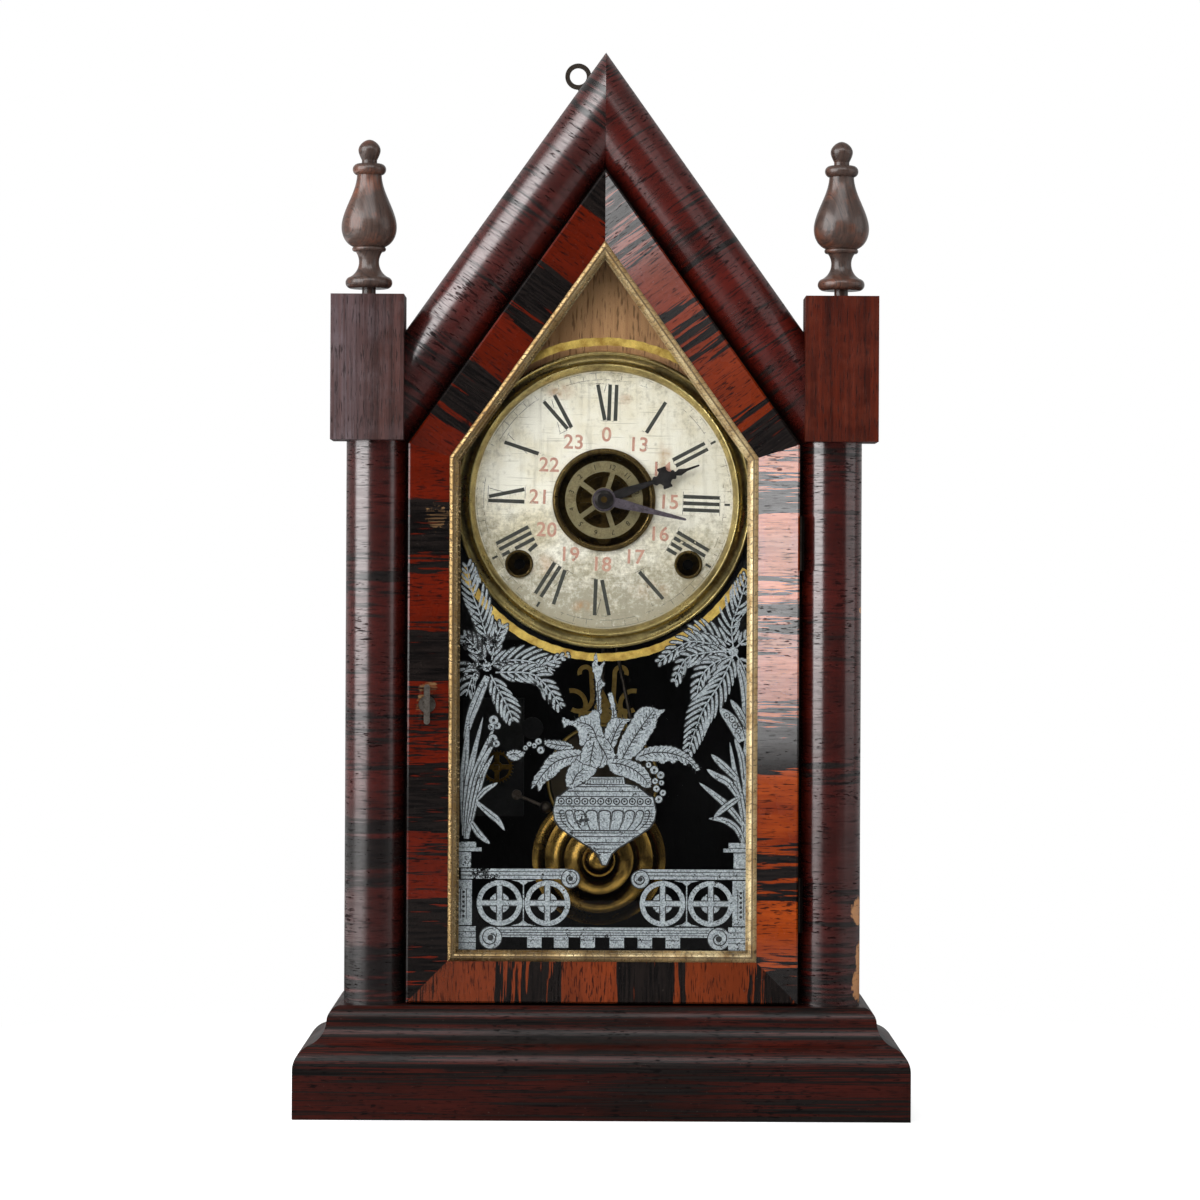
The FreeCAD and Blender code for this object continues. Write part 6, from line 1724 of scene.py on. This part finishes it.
    def broad_leaf(self, outline: Stops, rib: Stops) -> None:
        """Adds a broad ragged leaf with a dark rim, a rib and side veins.

        Args:
            outline: Points round its edge.
            rib: Points along its rib.
        """
        smoothed = smooth(list(outline), True, 5)
        edge = [(x + self.ragged * math.sin(2.3 * index), z + self.ragged * math.cos(3.1 * index))
                for index, (x, z) in enumerate(smoothed)]
        self.lay([inset(edge, -self.rim)], True)
        self.lay([edge])
        spine = smooth(list(rib))
        self.lay([ribbon(spine, self.rib_width, LINE)], True)
        gap, length, width = self.side_vein
        ways = [(spot, turn + side * self.vein_turn) for spot, turn, _ in walk(spine, self.vein_pitch)
                for side in (-1, 1)]
        self.lay([stroke(shifted(spot, turn, gap), length, width, turn) for spot, turn in ways], True)

    def urn_body(self) -> None:
        """Adds the urn with its mouldings, a band of rings and a fluted bowl."""
        x = self.urn_middle
        edge = [(x - half, level) for level, half in self.urn] + [(x + half, level) for level, half in self.urn[::-1]]
        middle = 144.0
        self.lay([[(a + (0.6 if a > x else -0.6), b + (0.5 if b > middle else -0.5)) for a, b in edge]], True)
        self.lay([edge])
        self.lines([((x - half, level), (x + half, level)) for level, half in self.urn_lines], 0.6)
        rings = [(x - 20.8 + 3.78 * index, 149.0) for index in range(12)]
        for size, shade in ((1.72, True), (1.14, False), (0.56, True)):
            self.lay([circle(spot, size, 16) for spot in rings], shade)
        flutes, loops = 11, []
        for index in range(1, flutes - 1):
            shares = [math.sin(math.pi / 2 * (-0.97 + 1.94 * (index + part) / flutes)) for part in (0.0, 1.0)]
            near, far = x + 23.2 * shares[0], x + 23.2 * shares[1]
            foot, toe = x + 16.6 * shares[0], x + 16.6 * shares[1]
            arch = [(near + (far - near) * (0.5 - 0.5 * math.cos(t * math.pi / 8)),
                     143.4 + 1.8 * math.sin(t * math.pi / 8)) for t in range(9)]
            loop = arch + [(far * 0.72 + toe * 0.28, 138.6), (toe, 134.6), (foot, 134.6),
                           (near * 0.72 + foot * 0.28, 138.6)]
            loops += [inset(loop, 0.1), inset(loop, 0.78)]
        self.lay(loops, True)
        self.lines([((x + side * (half - 4.4), level), (x + side * half, level)) for side in (-1, 1)
                    for level, half in ((143.2 - 1.3 * index, 23.6 - 0.07 * index ** 2) for index in range(6))], 0.52)
        self.lines([((x - 8.4 + 1.4 * index, 159.2), (x - 8.4 + 1.4 * index, 157.6)) for index in range(13)], 0.4)

    def volutes(self) -> None:
        """Adds the rolled ends of the rails."""
        ends = ((-15.1, 112.0, 4.2), (18.1, 111.8, 4.1), (-53.3, 83.6, 5.2), (55.9, 83.4, 5.2))
        for share, rise, shade in ((1.0, 0.5, True), (1.0, 0.0, False), (0.28, 0.0, True)):
            self.lay([circle((x, z), size * share + rise, 32) for x, z, size in ends], shade)
        curls = []
        for x, z, size in ends:
            side = -1.0 if x < 0 else 1.0
            way = side if z < 100.0 else -side
            turns = [(0.5 + step / 10) * math.pi for step in range(22)]
            curls.append(ribbon([(x + way * size * (0.36 + 0.024 * index) * math.cos(turn),
                                  z + size * (0.36 + 0.024 * index) * math.sin(turn))
                                 for index, turn in enumerate(turns)], 0.62, LINE))
        self.lay(curls, True)

    def wall(self) -> None:
        """Adds the balustrade: rails with volutes, ringed crosses, spindles, posts and dentils."""
        hubs = [(x, self.wall_level) for x in self.wheels]
        self.lay([circle(hub, size, 48) for hub in hubs for size in (10.9, 8.5)])
        self.lay([circle(hub, 4.9, 30) for hub in hubs])
        self.lay([cross(hub, 8.5, 1.65) for hub in hubs], True)
        self.lay([cross(hub, 8.8, 1.15) for hub in hubs])
        spans, foot, border = ((-67.6, -15.0), (18.0, 68.6)), (-55.0, 57.0), 68.8
        self.lay([oblong(start, end, 116.6, 111.8) for start, end in spans] + [oblong(*foot, 88.7, 84.0)])
        self.lines([((start, level), (end, level)) for start, end in spans for level in (115.2, 113.5)], 0.5)
        self.lines([((foot[0], level), (foot[1], level)) for level in (87.3, 86.1, 84.9)], 0.46)
        self.volutes()
        middles = [sum(pair) / 2 for pair in (self.wheels[:2], self.wheels[2:])]
        self.lay([ribbon([(x, 110.6), (x, 100.2), (x, 89.8)], 1.9, SPINDLE) for x in middles])
        self.lay([[(x - 6.0, level), (x + 6.0, level), (x + 2.2, level + way * 0.9), (x, level + way * 2.6),
                   (x - 2.2, level + way * 0.9)] for x in middles for level, way in ((111.2, -1.0), (89.4, 1.0))])
        posts = ((62.3, 111.2, 89.6), (62.8, 124.4, 117.2), (60.4, 129.4, 127.0), (57.8, 126.7, 124.9),
                 (60.4, 89.0, 78.0))
        self.lay([oblong(min(side * inner, side * border), max(side * inner, side * border), top, bottom)
                  for side in (-1, 1) for inner, top, bottom in posts])
        self.lines([((side * edge, 107.0), (side * edge, 92.6)) for side in (-1, 1) for edge in (64.9, 67.7)], 0.42)
        self.lay([circle((side * 66.3, 105.4 - 2.3 * index), 0.7, 10) for side in (-1, 1) for index in range(6)],
                 True)
        self.lines([((side * 60.4, level), (side * border, level)) for side in (-1, 1)
                    for level in (86.4, 83.8, 81.2)], 0.44)
        dentils = (-32.3, -19.5, -6.8, 7.1, 20.5, 33.9)
        self.lay([oblong(spot - 3.45, spot + 3.45, 83.9, 78.9) for spot in dentils])
        self.lines([((spot - 3.2, 82.6), (spot + 3.2, 82.6)) for spot in dentils], 0.4)

    def print_garden(self) -> None:
        """Lays out the picture's sheets, the farthest first."""
        for points, left, right in self.fronds:
            self.frond(points, left, right)
        self.lay([circle(crown, 2.4, 9) for crown in ((-55.6, 213.2), (62.2, 221.0))])
        for points, width in self.blades:
            self.blade(points, width)
        for some in (self.dots[::2], self.dots[1::2]):
            self.lay([circle((x, z), size + 0.35, 14) for x, z, size in some], True)
            self.lay([circle((x, z), size * share, 12) for x, z, size in some for share in (1.0, 0.36)])
        self.urn_body()
        for outline, rib in self.leaves:
            self.broad_leaf(outline, rib)
        self.wall()

    def build(self) -> None:
        """Prints the picture and the gold ring."""
        self.print_garden()
        rubbed = tuple(Spot((x, self.plane, z), (wide, 9.0, tall), share) for x, z, wide, tall, share in self.rubbed)
        pale = Ink("pale_print", tint(186, 193, 197), tint(96, 103, 108), 1400.0, 0.6, roughness=0.5, rubbed=rubbed)
        # Painted shade: near black for the picture's clear gaps, where the shaded inside of the case shows through.
        shade = Ink("print_gap_shade", tint(10, 10, 12), tint(17, 17, 19), 900.0, 0.68, roughness=0.5)
        for name, sheets, ink in (("glass_print", self.pale, pale), ("print_gap_shade_sheets", self.dark, shade)):
            cut = [flat_shape(outlines, level, self.sheet) for outlines, level in sheets]
            finish_piece(unite(name, cut), "door", ink)
        gold = Ink("gold_print", tint(230, 198, 104), tint(166, 130, 56), 170.0, 0.68, 0.5, 0.38)
        inner, outer = self.ring
        arcs = [arc_band(self.ring_centre, inner, outer, start, end, 120, self.ring_ripple)
                for start, end in self.ring_arcs]
        finish_piece(unite("gold_ring", [flat_shape([arc], self.plane + self.depth + 0.01) for arc in arcs]), "door",
                     gold)


@dataclass
class Movement:
    """Movement, pendulum, bell and alarm."""

    brass: tuple[str, ...] = ("movement_front_plate", "movement_back_plate", "time_great_wheel", "time_second_wheel",
                              "center_wheel", "third_wheel", "escape_wheel", "minute_wheel", "hour_wheel",
                              "strike_great_wheel", "strike_second_wheel", "strike_fly")
    steel: tuple[str, ...] = ("mainsprings", "verge", "strike_hammer", "alarm_hammer", "case_screws", "hanging_eye",
                              "pendulum_rod")
    arbors: tuple[str, ...] = ("time_winding_arbor", "strike_winding_arbor")

    def build(self) -> None:
        """Dresses the moving parts behind the dial."""
        dress({
            self.brass: OldMetal("movement_brass", tint(104, 82, 42), tint(56, 44, 24), 70.0, 0.5, 0.3, 0.5),
            self.steel: OldMetal("dark_steel", tint(104, 96, 88), tint(54, 46, 40), 110.0, 0.5, 0.3, 0.55),
            # Painted shade: the winding arbors are made near black, so that the winding holes read dark.
            self.arbors: OldMetal("arbor_steel_shade", tint(34, 32, 31), tint(16, 15, 15), 140.0, 0.5, 0.3, 0.5),
            ("bell", "bell_post"): OldMetal(
                "bell_brass", tint(178, 142, 74), tint(96, 74, 36), 46.0, 0.48, 0.16, 0.32, relief=0.05),
            ("pendulum_bob",): OldMetal(
                "bob_plate", tint(214, 180, 104), tint(150, 118, 60), 60.0, 0.45, 0.34, 0.5, 1.0, 0.15,
                (0.0, 156.5), 26.6, tint(70, 62, 50)),
            # Painted shade: the alarm frame is made near black, as it lies in the shade inside the case.
            ("alarm_frame",): OldMetal(
                "alarm_frame_shade", tint(11, 10, 10), tint(7, 7, 7), 90.0, 0.5, 0.6, 0.8, 0.3),
            ("alarm_wheel",): OldMetal(
                "alarm_wheel_brass", tint(104, 80, 34), tint(58, 44, 20), 90.0, 0.5, 0.35, 0.6)})


@dataclass
class Studio:
    """Floor, light and camera."""

    distance: float = 2.0355
    height: float = 0.2453
    side: float = -0.0017
    lens: float = 126.06
    roll: float = -0.27
    sensor: float = 36.0
    far: float = 50.0
    floor_size: float = 3.2
    floor_place: Triple = (0.0, 0.15, -0.0002)
    pale: Colour = (0.9, 0.9, 0.9)
    unlit: Colour = (0.07, 0.07, 0.07)
    glow: float = 0.55
    sky: float = 0.52
    lamps: tuple[tuple[str, Triple, Triple, float, float, float], ...] = (
        ("tall_softbox", (-1.44, -0.93, 0.875), (0.0, 0.0, 0.3), 1.8, 1.6, 4.0),
        ("front_panel", (0.0, -1.6, 1.85), (0.0, 0.0, 0.25), 2.0, 1.0, 2.2),
        ("high_panel", (1.2, -1.5, 1.35), (0.0, 0.0, 0.4), 1.5, 1.0, 0.32),
        ("right_panel", (1.7, -0.4, 0.7), (0.0, 0.0, 0.28), 1.4, 1.2, 0.7))

    def floor(self) -> None:
        """Lays a plain pale floor that keeps the object's shadow, and that in reflections is dark but for two painted
        pools of light, at the left and at the right.
        """
        deselect()
        bpy.ops.mesh.primitive_plane_add(size=self.floor_size, location=self.floor_place)
        ground = settle(bpy.context.view_layer.objects.active)
        ground.name = "pale_floor"
        material = bpy.data.materials.new("pale_floor")
        graph = emptied(material)
        matt = graph.add("ShaderNodeBsdfDiffuse")
        glow = graph.add("ShaderNodeEmission")
        path = graph.add("ShaderNodeLightPath").outputs
        place = graph.add("ShaderNodeTexCoord").outputs["Object"]
        pane = graph.times(graph.math("GREATER_THAN", path["Glossy Depth"], 0.5),
                           graph.under(path["Transmission Depth"], 2.5))
        glossy = graph.most(path["Is Glossy Ray"], pane)
        # Painted light: in reflections the floor is dark, save for a pool of light at the left and a fainter one at
        # the right.
        lit = graph.times(graph.spread(graph.along(place, RIGHT), -0.66, -0.78),
                          graph.spread(graph.along(place, DEEP), -1.15, -0.9))
        lit_right = graph.spread(graph.along(place, RIGHT), 0.6, 0.72, 0.0, 0.25)
        mirrored = graph.mix(graph.most(lit, lit_right), self.unlit, self.pale)
        graph.feed(matt.inputs["Color"], graph.mix(glossy, self.pale, mirrored))
        seen = graph.most(path["Is Camera Ray"], graph.minus(path["Is Transmission Ray"], pane, True))
        graph.feed(glow.inputs["Strength"], graph.times(seen, self.glow))
        both = graph.row(graph.add("ShaderNodeAddShader"), matt.outputs[0], glow.outputs[0])
        reach = graph.vector("LENGTH", place)
        white = graph.add("ShaderNodeEmission")
        share = graph.times(graph.spread(reach, 0.2, 0.5), seen)
        fade = graph.row(graph.add("ShaderNodeMixShader"), share, both, white.outputs[0])
        graph.close("ShaderNodeOutputMaterial", fade)
        ground.data.materials.append(material)

    def world(self) -> None:
        """White all round for the camera, and a white wall behind the object in its reflections."""
        world = bpy.data.worlds.new("white_room")
        bpy.context.scene.world = world
        graph = emptied(world)
        path = graph.add("ShaderNodeLightPath").outputs
        _, y, z = graph.split(graph.add("ShaderNodeTexCoord").outputs["Generated"])
        mirrored = graph.spread(y, -0.1, 0.8, 0.015, 0.42)
        mirrored = graph.most(mirrored, graph.spread(z, 0.15, 0.7, 0.0, 0.18))
        sharp = graph.most(path["Is Glossy Ray"], path["Is Transmission Ray"])
        soft = graph.times(graph.rest(sharp), self.sky)
        level = graph.plus(soft, graph.times(sharp, mirrored))
        strength = graph.most(level, path["Is Camera Ray"])
        back = graph.add("ShaderNodeBackground")
        graph.close("ShaderNodeOutputWorld", graph.row(back, (1.0, 1.0, 1.0), strength))

    def lamp(self, name: str, place: Triple, target: Triple, width: float, tall: float, level: float) -> None:
        """Adds a soft rectangular lamp.

        Args:
            name: Its name.
            place: Where it stands, in metres.
            target: Where it points.
            width: Its width.
            tall: Its height.
            level: Its brightness.
        """
        deselect()
        bpy.ops.object.light_add(type="AREA", location=place)
        lamp = bpy.context.view_layer.objects.active
        lamp.name = name
        lamp.data.shape = "RECTANGLE"
        lamp.data.size, lamp.data.size_y = width, tall
        lamp.data.energy = level * math.pi * width * tall
        ahead = lamp.location.copy()
        ahead.x, ahead.y, ahead.z = (target[i] - place[i] for i in range(3))
        lamp.rotation_euler = ahead.to_track_quat("-Z", "Y").to_euler()

    def camera(self) -> None:
        """Sets the camera where the picture was taken."""
        deselect()
        bpy.ops.object.camera_add(location=(self.side, -self.distance, self.height),
                                  rotation=(math.pi / 2, math.radians(self.roll), 0.0))
        camera = bpy.context.view_layer.objects.active
        camera.name = "picture_camera"
        camera.data.lens = self.lens
        camera.data.sensor_width = self.sensor
        camera.data.clip_end = self.far
        bpy.context.scene.camera = camera

    def build(self) -> None:
        """Sets up the whole studio."""
        self.floor()
        self.world()
        for lamp in self.lamps:
            self.lamp(*lamp)
        self.camera()
        bpy.context.scene.view_settings.view_transform = "Standard"


def main() -> None:
    """Builds the looks."""
    for part in (Case(), Door(), GlassPicture(), Dial(), Movement(), Studio()):
        part.build()
        LOG.info("built %s", type(part).__name__)


if __name__ == "__main__":
    main()
